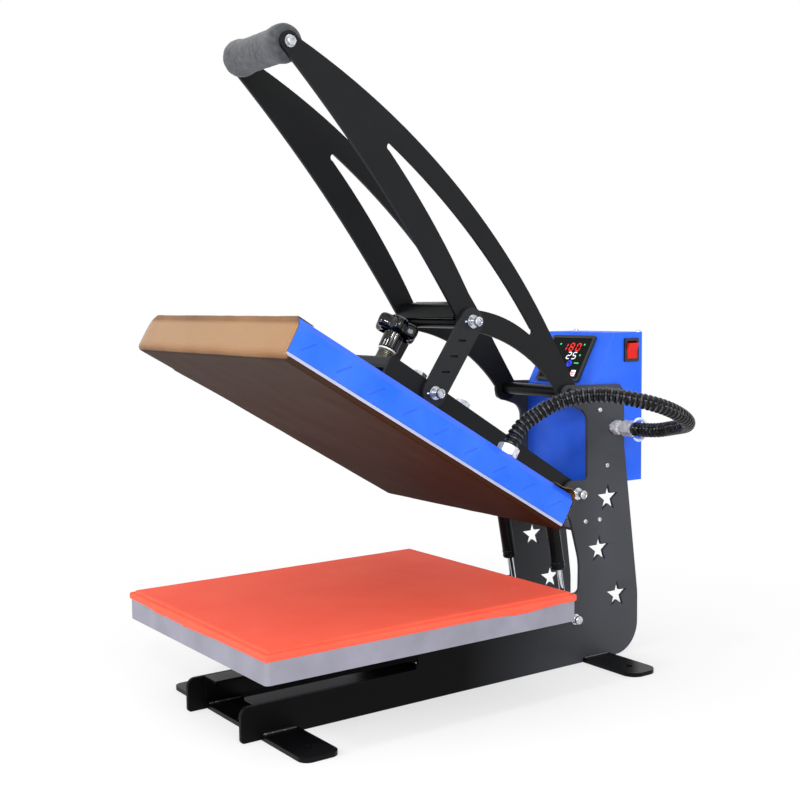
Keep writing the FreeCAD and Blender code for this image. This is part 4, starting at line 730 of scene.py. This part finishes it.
def cornered(inset, radius, height):
    # a rounded rectangle, begun at its front right corner
    ring = []
    halfX, halfY = (half - inset - radius for half in padMat["half"])
    centres = [Vector((x * halfX, y * halfY, height)) for x, y in ((1, -1), (1, 1), (-1, 1), (-1, -1))]
    for quarter in range(4):
        for i in range(padMat["turn"] + 1):
            angle = math.radians(90 * (quarter - 1) + 90 * i / padMat["turn"])
            ring.append(centres[quarter] + Vector((math.cos(angle), math.sin(angle), 0)) * radius)
        angle = math.radians(90 * quarter)
        end = centres[(quarter + 1) % 4] + Vector((math.cos(angle), math.sin(angle), 0)) * radius
        begun = ring[-1]
        ring += [begun.lerp(end, i / padMat["along"]) for i in range(1, padMat["along"])]
    return ring


def torn(x, y):
    # how far the lower edge hangs below the table's top
    halfX, halfY = padMat["half"]
    front = zone(x, *padMat["frontTear"]) if y < padMat["rim"] - halfY else 0.0
    right = zone(y, *padMat["rightTear"]) if x > halfX - padMat["rim"] else 0.0
    rough = abs(noise.noise(Vector((x * 0.09, y * 0.09, 3.0))))
    rough += 0.5 * abs(noise.noise(Vector((x * 0.35, y * 0.35, 7.0))))
    return padMat["drop"] * (front + right) * rough + padMat["sag"] * right


padRings = []
padTop = padMat["levels"][-1][0]
for height, inset in padMat["levels"]:
    ring = cornered(inset, max(padMat["corner"] - inset * 0.25, 1.5), height)
    for point in ring:
        if inset < 1 and height < 1:
            point.z -= torn(point.x, point.y)
        if height > 5:
            point.z += 0.15 * noise.noise(point * 0.03)
    padRings.append(ring)
for inset in padMat["field"]:
    ring = cornered(inset, 1.5, padTop)
    for point in ring:
        point.z += 0.12 * noise.noise(point * 0.02) - 0.12
    padRings.append(ring)
padShape = ringed([circle(0, 1, 0)] + padRings + [circle(0, 1, padTop)])
padShape = moved(padShape, Matrix.Translation((padMiddle.x, padMiddle.y, padLow.z)))
padPiece = addPiece("siliconeTableMat", padShape, redSilicone, "base", ["silicone_pad"], 50)
print("grip and pad made")

# Coated glass cloth, stretched round the heater from the front of the cover to its springs behind. Each
# corner of its run is a depth, a height and a bend radius.
cloth = {
    "half": 205,
    "top": -38.6,
    "corners": [
        (-601, -38.6, 0), (-626.4, -38.6, 1.6), (-626.4, -94.1, 8),
        (-118.6, -94.1, 8), (-118.6, -38.6, 1.6), (-156, -38.6, 0),
    ],
    "bulge": 14,
    "thickness": 0.4,
    "proud": 0.35,
    "ripples": ((0.55, 0.03, 0.022, 0), (0.2, 0.12, 0.07, 4)),
    "tuck": 5.2,
    "hem": {"at": -127, "rise": 5, "spread": 9},
    "columns": 64,
    "front": -600,
    "middle": -400,
    "rear": -200,
    "under": -93,
    "fold": -86,
    # tones from nought, new, to one, dark with heat browning and painted shade
    "baked": {"front": 0.0, "frontHem": 0.28, "rearHem": 0.26, "cover": 0.9},
}


def bentLine(corners, step):
    # a line of runs and arcs, drawn with the outside on its left
    line = []
    for i, (y, z, radius) in enumerate(corners):
        at = Vector((y, z))
        if radius == 0:
            line.append(at)
            continue
        back = (Vector(corners[i - 1][:2]) - at).normalized()
        ahead = (Vector(corners[i + 1][:2]) - at).normalized()
        centre = at + (back + ahead) * radius
        for k in range(9):
            angle = math.pi / 2 * k / 8
            line.append(centre - ahead * radius * math.cos(angle) - back * radius * math.sin(angle))
    dense = []
    for a, b in zip(line, line[1:]):
        count = max(1, round((b - a).length / step))
        dense += [a.lerp(b, k / count) for k in range(count)]
    return dense + [line[-1]]


def clothReach(y, z):
    # the cloth narrows over the cover, and at the front it bulges past the left side
    above = max(0.0, z + 50)
    if y >= cloth["middle"]:
        return (cloth["half"] - above * 0.3,) * 2
    right = cloth["half"] - above
    bend = math.sqrt(1 - (1 - share(z, cloth["top"], cloth["top"] - 30)) ** 2)
    return right + (cloth["bulge"] + 0.9 * above) * bend * share(y, -470, -620), right


def bakeAndShadeDepth(y, z):
    # new in front, darker below from front to rear, and less so along its hems; the dark is partly heat
    # browning and partly painted shade, and the front's lower bend and top hem are darkened only as
    # painted shade
    tones, front = cloth["baked"], y < cloth["front"]
    if z < cloth["under"]:
        return 0.48 + 0.5 * (y + 626) / 507
    if front and z < cloth["fold"]:
        return 0.1 + 0.25 * (cloth["fold"] - z) / 8
    if front and z > -46:
        return tones["frontHem"]
    if y > cloth["rear"] and z > -80:
        return tones["rearHem"]
    return tones["front" if front else "cover"]


def lifted(x, y, z, travelled):
    # how far the cloth stands off its run, with slack ripples and a bulge in the rear hem
    ripple = 0.0
    for height, across, along, layer in cloth["ripples"]:
        ripple += height * noise.noise(Vector((x * across, travelled * along, layer)))
    proud = cloth["proud"] + ripple * (0.5 if z < cloth["under"] else 0.7)
    if x < -206 and y < -560:
        proud -= (-206 - x) * 0.12
    if y > cloth["rear"] and z > -60:
        hem = cloth["hem"]
        proud += hem["rise"] * math.exp(-(((y - hem["at"]) / hem["spread"]) ** 2))
    return proud


clothLine = bentLine(cloth["corners"], 6)
clothPoints, clothSpots, clothBakeAndShade = [], [], []
travelled = 0.0
for i, (y, z) in enumerate(clothLine):
    if i:
        travelled += (clothLine[i] - clothLine[i - 1]).length
    tangent = (clothLine[min(i + 1, len(clothLine) - 1)] - clothLine[max(i - 1, 0)]).normalized()
    normal = Vector((0, tangent.y, -tangent.x))
    left, right = clothReach(y, z)
    # the side edges turn up over the heater's lip
    tuck = 0.6 + cloth["tuck"] * share(z, cloth["fold"], cloth["fold"] - 8)
    spots = [(-left - 0.8, tuck), (-left - 0.7, 0.8)]
    spots += [(-left + (right + left) * k / cloth["columns"], 0) for k in range(cloth["columns"] + 1)]
    spots += [(right + 0.7, 0.8), (right + 0.8, tuck)]
    for x, lift in spots:
        clothPoints.append(Vector((x, y, z)) + normal * (lifted(x, y, z, travelled) - lift))
        clothSpots.append(((x + 240) * mm, travelled * mm))
        clothBakeAndShade.append(bakeAndShadeDepth(y, z))
width = cloth["columns"] + 5
clothFaces = [
    [i * width + k, i * width + k + 1, (i + 1) * width + k + 1, (i + 1) * width + k]
    for i in range(len(clothLine) - 1)
    for k in range(width - 1)
]
clothShape = moved((clothPoints, clothFaces), carrierPlace)
clothPiece = addPiece("coatedHeaterCloth", clothShape, ptfeCloth, smooth=70)
layout = clothPiece.data.uv_layers.new(name="weave")
for loop in clothPiece.data.loops:
    layout.data[loop.index].uv = clothSpots[loop.vertex_index]
baked = clothPiece.data.attributes.new("baked", "FLOAT", "POINT")
baked.data.foreach_set("value", clothBakeAndShade)
thick = clothPiece.modifiers.new("thickness", "SOLIDIFY")
thick.thickness = cloth["thickness"] * mm
thick.offset = 0
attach(clothPiece, "upper_platen")
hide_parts("ptfe_sheet")
print("cloth made,", round(travelled), "mm long")

# Pressed lips stand in the cover's louvre slits, one edge a little proud
louvre = {"count": 9, "pitch": 56.6, "at": (205.75, -149, -67), "half": (11.8, 0.72, 0.2), "lean": -20}
# the slits rise at 45 degrees, and the lips' thin side faces outwards
slitTurn = Matrix(((0, 0, 1), (0.7071, -0.7071, 0), (0.7071, 0.7071, 0))).to_4x4()
lipHalf, (across, first, level) = Vector(louvre["half"]), louvre["at"]
lipShapes = []
for side in (-1, 1):
    lean = Matrix.Rotation(side * math.radians(louvre["lean"]), 4, "X")
    for i in range(louvre["count"]):
        spot = Vector((side * across, first - i * louvre["pitch"], level))
        lipShapes.append(moved(boxed(-lipHalf, lipHalf, 0.15), Matrix.Translation(spot) @ slitTurn @ lean))
addPiece("louvreLips", moved(joined(lipShapes), carrierPlace), bluePowder, "upper_platen")

# Insulation between the heater and its cover
blanket = {"low": (-196.5, -617, -72.4), "high": (196.5, -128.5, -48.5), "bevel": 3}
blanketShape = moved(boxed(blanket["low"], blanket["high"], blanket["bevel"]), carrierPlace)
blanketPiece = addPiece(
    "insulationLayer", blanketShape, glassFibre, "upper_platen", ["insulation_blanket"]
)

# Tension springs of the cloth's rear hem, each on its foot
spring = {
    "across": (-168, -60, 60, 158),
    "radius": 1.85,
    "wire": 0.38,
    "pitch": 1.05,
    "from": -157.5,
    "to": -189,
    "level": -37.4,
    "steps": 12,
    "foot": ((-4, -194, -40), (4, -190.4, -37.3)),
}


def coiled():
    # hooks in line with the coil's axis, at both ends
    start, end, level = spring["from"], spring["to"], spring["level"]
    turns = (start - end) / spring["pitch"]
    steps = int(turns * spring["steps"])
    wire = [Vector((0, start + 3.4, level - 0.2)), Vector((0, start + 1.2, level))]
    for i in range(steps + 1):
        angle = 2 * math.pi * turns * i / steps
        along = start + (end - start) * i / steps
        x, z = spring["radius"] * math.cos(angle), level + spring["radius"] * math.sin(angle)
        wire.append(Vector((x, along, z)))
    wire += [Vector((0, end - 1.2, level)), Vector((0, end - 3, level - 0.2))]
    return swept(wire, [spring["wire"]] * len(wire), 6)


springParts = joined([coiled(), boxed(*spring["foot"], 0.5)])
springShapes = [moved(springParts, Matrix.Translation((across, 0, 0))) for across in spring["across"]]
springShape = moved(joined(springShapes), carrierPlace)
addPiece("clothSprings", springShape, springSteel, "upper_platen", ["sheet_springs"])

# Pressure screw: threaded spindle with a plain neck
screw = {"radius": 12, "low": -47.2, "high": 46, "pitch": 2.5, "depth": 1.0, "neck": 9.9, "end": 76}
spindle = [(0, screw["low"]), (10.2, screw["low"])]
spindle += threaded(screw["radius"], screw["low"] + 1.2, screw["high"] - 1, screw["pitch"], screw["depth"])
spindle += [(11.4, screw["high"]), (screw["neck"], screw["high"])]
spindle += [(screw["neck"], screw["end"] - 1), (0, screw["end"])]
spindleShape = moved(turned(spindle, 40), knobPlace)
addPiece(
    "threadedSpindle", spindleShape, turnedBrass, "pressure_screw", ["pressure_spindle"]
)

# Its knob: a fluted hub and a six-lobed star, whose levels are heights and insets, and a turned cap
knob = {
    "lobes": 6,
    "lean": math.radians(28.5),
    "tip": 34,
    "valley": 26,
    "hub": 14.5,
    "flutes": 8,
    "fluteDepth": 0.9,
    "hubLevels": [(48, 1.6), (48.6, 0.5), (50, 0), (70, -0.3), (73, -0.8)],
    "starLevels": [
        (73, 9), (72.4, 6.6), (73, 4), (74.8, 1.9), (77.6, 0.6), (81, 0.1), (84, 0), (87, 0.2), (90, 1.1),
        (92.2, 2.9), (93.5, 5.4), (94, 8),
    ],
    "cap": [(17.6, 94.2), (16.4, 96.4), (13.5, 98.6), (10.6, 99.6), (9.8, 99.2), (9.2, 98.6), (0, 98.9)],
}


def starReach(turn):
    wave = math.cos(knob["lobes"] * (turn - knob["lean"]))
    return knob["valley"] + (knob["tip"] - knob["valley"]) * (0.5 + 0.5 * wave)


def hubReach(turn):
    flute = abs(math.cos(knob["flutes"] * turn / 2)) ** 0.7
    return knob["hub"] - knob["fluteDepth"] * (1 - flute)


def levelled(reach, levels, sides, limit):
    return [polar(lambda turn: max(reach(turn) - inset, limit), sides, height) for height, inset in levels]


hub = [circle(0, 1, knob["hubLevels"][0][0])] + levelled(hubReach, knob["hubLevels"], 160, 8)
star = levelled(starReach, knob["starLevels"], 240, 12)
star += [circle(radius, 240, height) for radius, height in knob["cap"]]
knobShape = moved(joined([ringed(hub), ringed(star)]), knobPlace)
addPiece("starKnob", knobShape, blackPhenolic, "pressure_screw", ["star_knob"], 50)

# Pivot ends: a washer, a stepped collar and a round nut with a hollow face, with a lock pin beside them
pivot = {
    "bore": 3,
    "washer": 2.9,
    "nut": 5.5,
    "offset": {"nuts": 80, "lever": 80.3, "links": 80.1},
    "carrier": (9.6, 6.8, 16, True),
    "strut": (8.6, 6.6, 11, False),
    "bolt": (9.9, 6.9, 16, True),
    "shank": [(0, -20), (5.8, -20), (5.8, 1), (0, 1)],
    "pin": [(0, -3), (2.1, -3), (2.1, 1.2), (1.6, 2.3), (0.8, 2.8), (0, 2.9)],
    "pinPlace": (0, -12.4, 0),
}


def pivotEnd(washer, nut, length, pinned):
    bore, top = pivot["bore"], pivot["washer"]
    disc = [(bore, 0), (washer - 0.6, 0), (washer, 0.6), (washer, 2.2), (washer - 0.7, top), (bore, top)]
    foot = length - pivot["nut"]
    collar = [(nut - 3, 2.5), (nut - 2.2, 3), (nut - 2.2, foot), (nut - 3, foot + 0.4)]
    face = [(0, foot), (nut - 2.6, foot), (nut - 0.8, foot), (nut, foot + 0.8), (nut, length - 0.9)]
    face += [(nut - 0.9, length), (nut - 2.2, length), (nut - 2.7, length - 0.7), (nut - 2.9, length - 2)]
    parts = [turned(disc, 56, True), turned(collar, 40), turned(face + [(0, length - 2.3)], 40)]
    if pinned:
        parts.append(moved(turned(pivot["pin"], 24), Matrix.Translation(pivot["pinPlace"])))
    return joined(parts)


def boltPair(name, spot, offset, body, replaced):
    shapes = sided(pivotEnd(*pivot["bolt"]), offset, *spot.yz)
    shapes += sided(turned(pivot["shank"]), offset, *spot.yz)
    addPiece(name, joined(shapes), brightZinc, body, [replaced])


leverPin, linkEnd = middle("link_cross_tube"), middle("link_end_bolts")
offsets = pivot["offset"]
fixedNuts = sided(pivotEnd(*pivot["carrier"]), offsets["nuts"], *middle("carrier_pivot_shaft").yz)
fixedNuts += sided(pivotEnd(*pivot["strut"]), offsets["nuts"], *strutFoot.yz)
addPiece("pivotNuts", joined(fixedNuts), brightZinc, "base", ["pivot_nuts"])
boltPair("leverPinBolts", leverPin, offsets["lever"], "handle", "link_pivot_bolts")
boltPair("linkEndBolts", linkEnd, offsets["links"], "links", "link_end_bolts")

# Rubber plugs close the links' slots
slotPlug = {"inset": 3.4, "half": (0.6, 7.5, 36)}
plugHalf = Vector(slotPlug["half"])
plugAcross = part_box("link_right")[1].x / mm - slotPlug["inset"]
plugSpot = (leverPin + linkEnd) / 2
linkTilt = Matrix.Rotation(math.atan2(linkEnd.y - leverPin.y, leverPin.z - linkEnd.z), 4, "X")
plugShapes = []
for side in (-1, 1):
    place = Matrix.Translation((side * plugAcross, plugSpot.y, plugSpot.z)) @ linkTilt
    plugShapes.append(moved(boxed(-plugHalf, plugHalf, 0.3), place))
addPiece("linkSlotPlugs", joined(plugShapes), plugRubber, "links")

# Hanger bolts of the upper platen, each with a collar on the cover
hanger = {
    "across": (-55, 55),
    "reach": (-341, -251),
    "head": (11.2, 8),
    "headLevel": 22,
    "headTurn": 0.25,
    "low": -47.5,
    "radius": 5,
    "collar": [(5.2, -40), (8.4, -40), (9, -39.4), (9, -37.6), (8.4, -37), (5.2, -37)],
}
headPlace = Matrix.Translation((0, 0, hanger["headLevel"])) @ Matrix.Rotation(hanger["headTurn"], 4, "Z")
shank = [(0, hanger["low"]), (4.2, hanger["low"])]
shank += threaded(hanger["radius"], hanger["low"] + 1, 21.5, 1.5, 0.6) + [(0, 22.2)]
head = moved(hexagonal(*hanger["head"]), headPlace)
hangerParts = joined([head, turned(shank, 28), turned(hanger["collar"], 40, True)])
hangerShapes = [
    moved(hangerParts, Matrix.Translation((across, reach, 0)))
    for across in hanger["across"]
    for reach in hanger["reach"]
]
hangerShape = moved(joined(hangerShapes), carrierPlace)
addPiece("hangerBolts", hangerShape, brightZinc, "upper_platen", ["hanger_bolts"])

# Pan heads of the frame's cross screws
frameScrew = {
    "across": 80,
    "spots": [(262, 222), (292, 222), (292.5, 394), (308.5, 306), (-26, 93), (94, 93)],
    "outline": [
        (0, -8), (2, -8), (2, 0), (3.8, 0), (3.8, 0.8), (3.5, 1.7), (2.8, 2.3), (1.5, 2.4), (1.1, 1.2),
        (0, 1.2),
    ],
}
screwShapes = []
for spot in frameScrew["spots"]:
    screwShapes += sided(turned(frameScrew["outline"], 36), frameScrew["across"], *spot)
addPiece("crossScrews", joined(screwShapes), brightZinc, "base", ["frame_screws"])

# Screws that hold the grip's bar, with washers
gripScrew = {
    "across": 74,
    "washer": [(4.2, 0), (7.6, 0), (8, 0.4), (8, 1.2), (7.6, 1.6), (4.2, 1.6)],
    "head": (6.5, 4.4),
    "shank": [(0, -10), (3.9, -10), (3.9, 2), (0, 2)],
}
gripHead = moved(hexagonal(*gripScrew["head"]), Matrix.Translation((0, 0, gripScrew["washer"][-1][1])))
gripParts = joined([turned(gripScrew["washer"], 40, True), gripHead, turned(gripScrew["shank"], 24)])
gripShapes = sided(gripParts, gripScrew["across"], *gripSpot.yz)
addPiece("gripScrews", joined(gripShapes), brightZinc, "handle", ["grip_bolts"])
print("fasteners made")

# Lumpy weld beads where the side plates stand on the foot bars
weld = {
    "steps": 44,
    "inset": 3,
    "radius": 1.8,
    "lump": 0.9,
    "spacing": 2.7,
    "rough": 0.5,
    "off": 0.6,
    "up": 0.4,
}


def weldBead(face, off, y, z, run):
    path, radii = [], []
    for i in range(weld["steps"] + 1):
        along = y + run * i / weld["steps"]
        path.append(Vector((face + off, along, z)))
        lump = weld["lump"] * abs(math.sin(i * math.pi / weld["spacing"]))
        rough = weld["rough"] * noise.noise(Vector((along, face, 0)))
        end = min(1.0, min(i, weld["steps"] - i) / 3)
        radii.append((weld["radius"] + lump + rough) * (0.5 + 0.5 * end))
    return swept(path, radii, 10)


weldShapes = []
for foot in ("front_foot_bar", "rear_foot_bar"):
    low, high = (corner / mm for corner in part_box(foot))
    run = high.y - low.y - 2 * weld["inset"]
    for plate in ("side_plate_left", "side_plate_right"):
        inner, outer = (corner.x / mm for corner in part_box(plate))
        for face, off in ((inner, -weld["off"]), (outer, weld["off"])):
            weldShapes.append(weldBead(face, off, low.y + weld["inset"], high.z + weld["up"], run))
addPiece("footWelds", joined(weldShapes), weldEnamel, "base", smooth=60)

# Crimp rings of the gas struts
crimp = {
    "across": 57.5,
    "outline": [
        (5.3, 79.2), (9.4, 79.2), (10.4, 80.2), (11.1, 81.6), (11.1, 83), (10.7, 84), (10.7, 88),
        (11.1, 89), (11.1, 90.4), (10.4, 91.4), (5.3, 91.4),
    ],
}
crimpShapes = []
for side in (-1, 1):
    place = strutPlace @ Matrix.Translation((side * crimp["across"], 0, 0))
    crimpShapes.append(moved(turned(crimp["outline"], 48, True), place))
addPiece("strutCrimps", joined(crimpShapes), tubeEnamel, "cylinders")

# Display: seven-segment digits and icons on the floor of its window, in the panel's own frame. Each digit
# has its left edge and width, each row its foot, height and bar width, each box its two corners.
display = {
    "level": (3.15, 3.35),
    "lean": 0.12,
    "gap": 0.15,
    "red": ([("1", -22, 7.4), ("8", -7.2, 7.8), ("0", 8, 7.8)], 59.8, 12.6, 2.3),
    "white": ([("2", -6, 7.4), ("5", 6.4, 7.4)], 45.2, 11.4, 1.7),
    "icon": {"at": (6.5, 36.6, 0), "radius": 5.6, "hole": 3.8, "bar": ((3, 33), (10, 40), 1.8)},
    "dash": ((17, 36.8, 3.1), (27, 38.8, 3.4)),
    "lamps": ((-30.5, 71.1), (24.2, 71), (23, 51.9)),
    "key": ((18, 14.6, 3.0), (28.5, 25.4, 3.3)),
    "keyMarks": [
        ((19.6, 17, 3.1), (26, 18.6, 3.45)),
        ((19.6, 20.2, 3.1), (26, 21.8, 3.45)),
        ((19.6, 17, 3.1), (21.2, 24, 3.45)),
    ],
    "glass": ((-51, 10.4, 3.0), (37, 82.2, 3.15)),
}
segments = {"0": "abcdef", "1": "bc", "2": "abged", "5": "afgcd", "8": "abcdefg"}
knots = {
    "a": ((0, 1), (1, 1)),
    "b": ((1, 1), (1, 0.5)),
    "c": ((1, 0.5), (1, 0)),
    "d": ((0, 0), (1, 0)),
    "e": ((0, 0.5), (0, 0)),
    "f": ((0, 1), (0, 0.5)),
    "g": ((0, 0.5), (1, 0.5)),
}


def bar(start, end, width):
    along = (end - start).normalized()
    across = Vector((-along.y, along.x)) * width / 2
    tip = along * width / 2
    near, far = start + tip, end - tip
    outline = [near - across, far - across, end, far + across, near + across, start]
    rings = [[Vector((p.x, p.y, level)) for p in outline] for level in display["level"]]
    points, faces = ringed(rings)
    return points, faces + [[5, 4, 3, 2, 1, 0], [6, 7, 8, 9, 10, 11]]


def digits(signs, foot, tall, width):
    shapes = []
    lean = display["lean"] * tall
    for sign, left, wide in signs:
        for segment in segments[sign]:
            start, end = (Vector((left + u * wide + lean * v, foot + v * tall)) for u, v in knots[segment])
            gap = (end - start).normalized() * width * display["gap"]
            shapes.append(bar(start + gap, end - gap, width))
    return shapes


icon = display["icon"]
iconRing = [(icon["hole"], 3.15), (icon["radius"], 3.15), (icon["radius"], 3.3), (icon["hole"], 3.3)]
iconStart, iconEnd, iconBar = icon["bar"]
blueMarks = [moved(turned(iconRing, 32, True), Matrix.Translation(icon["at"]))]
blueMarks.append(bar(Vector(iconStart), Vector(iconEnd), iconBar))
greenMarks = [boxed(*display["dash"], 0.2)]
greenMarks += [boxed((x - 1.5, y - 1.5, 3.1), (x + 1.5, y + 1.5, 3.4), 0.2) for x, y in display["lamps"]]
for name, shapes, material in (
    ("displayGlass", [boxed(*display["glass"], 0.05)], displayFilm),
    ("displayRedDigits", digits(*display["red"]), redLight),
    ("displayWhiteDigits", digits(*display["white"]), whiteLight),
    ("displayBlueIcon", blueMarks, blueLight),
    ("displayGreenLamps", greenMarks, greenLight),
    ("displayKeySquare", [boxed(*display["key"], 0.2)], whiteLight),
    ("displayKeyMark", [boxed(*corners, 0.15) for corners in display["keyMarks"]], redLight),
):
    addPiece(name, moved(joined(shapes), panelPlace), material, "base")

# Cover screws on top of the control box
topScrew = {
    "spots": ((-71, 385.8, 513), (71, 385.8, 513)),
    "outline": [(2.2, 0), (4.4, 0), (4.2, 1.4), (3.2, 2.4), (2.0, 2.8), (0, 2.8)],
}
topShapes = [moved(turned(topScrew["outline"]), Matrix.Translation(spot)) for spot in topScrew["spots"]]
addPiece("boxTopScrews", joined(topShapes), brightZinc, "base")
print("details made")

# Studio: a pale floor that keeps the shadow near the press, an even sky and soft lamps
studio = {"floor": 3.0, "paint": "#F4F4F4", "shadow": (0.25, 1.0), "keep": 0.55, "sky": 0.72, "white": 1.0}


def seenDirectly(tree):
    # one for the camera and for what a surface mirrors or lets through, nought for other rays
    path = addNode(tree, "LightPath")
    seen = addMath(tree, "MAXIMUM", path.outputs["Is Camera Ray"], path.outputs["Is Glossy Ray"])
    return addMath(tree, "MAXIMUM", seen, path.outputs["Is Transmission Ray"])


floorMaterial = bpy.data.materials.new("paleFloor")
floorMaterial.use_nodes = True
tree = floorMaterial.node_tree
tree.nodes.clear()
reach = addNode(tree, "VectorMath", {}, {0: addSpot(tree)}, operation="LENGTH").outputs["Value"]
fade = addRange(tree, reach, studio["keep"], 1.0, *studio["shadow"])
paint = addNode(tree, "BsdfDiffuse", {"Color": colour(studio["paint"])})
white = addNode(tree, "Emission", {"Strength": studio["white"]})
shares = {0: addMath(tree, "MULTIPLY", seenDirectly(tree), fade), 1: paint.outputs[0], 2: white.outputs[0]}
addNode(tree, "OutputMaterial", {}, {"Surface": addNode(tree, "MixShader", {}, shares).outputs[0]})
floorMesh = bpy.data.meshes.new("floor")
edge = studio["floor"]
floorCorners = [(x * edge, y * edge, -0.0005) for x, y in ((-1, -1), (1, -1), (1, 1), (-1, 1))]
floorMesh.from_pydata(floorCorners, [], [(0, 1, 2, 3)])
floorMesh.materials.append(floorMaterial)
floorPiece = bpy.data.objects.new("floor", floorMesh)
scene.collection.objects.link(floorPiece)

world = bpy.data.worlds.new("studio")
scene.world = world
world.use_nodes = True
tree = world.node_tree
tree.nodes.clear()
level = addRange(tree, seenDirectly(tree), studio["sky"], studio["white"])
sky = addNode(tree, "Background", {"Color": colour("#FFFFFF")}, {"Strength": level})
addNode(tree, "OutputWorld", {}, {"Surface": sky.outputs[0]})


def addLamp(name, power, size, eye, target):
    lamp = bpy.data.lights.new(name, "AREA")
    lamp.shape = "RECTANGLE"
    lamp.size, lamp.size_y = size
    lamp.energy = power
    aim = (Vector(target) - Vector(eye)).to_track_quat("-Z", "Y").to_matrix().to_4x4()
    holder = bpy.data.objects.new(name, lamp)
    holder.matrix_world = Matrix.Translation(eye) @ aim
    scene.collection.objects.link(holder)


addLamp("keyLamp", 27, (1.1, 1.1), (2.6, -0.7, 1.3), (0, 0, 0.35))
addLamp("frontLamp", 26, (1.2, 0.9), (-0.2, -2.7, 1.0), (0, 0, 0.3))
addLamp("topLamp", 5, (1.6, 1.6), (0.2, 0.0, 2.6), (0, 0, 0.2))
# two small lamps give the hose, the knob and the bolts their sparkle
addLamp("rightSpark", 21, (0.26, 0.26), (2.3, -1.7, 1.7), (0.1, 0.1, 0.4))
addLamp("leftSpark", 21, (0.26, 0.26), (0.5, -2.6, 1.9), (0.1, 0.1, 0.4))

scene.view_settings.view_transform = "Standard"
print("studio made")
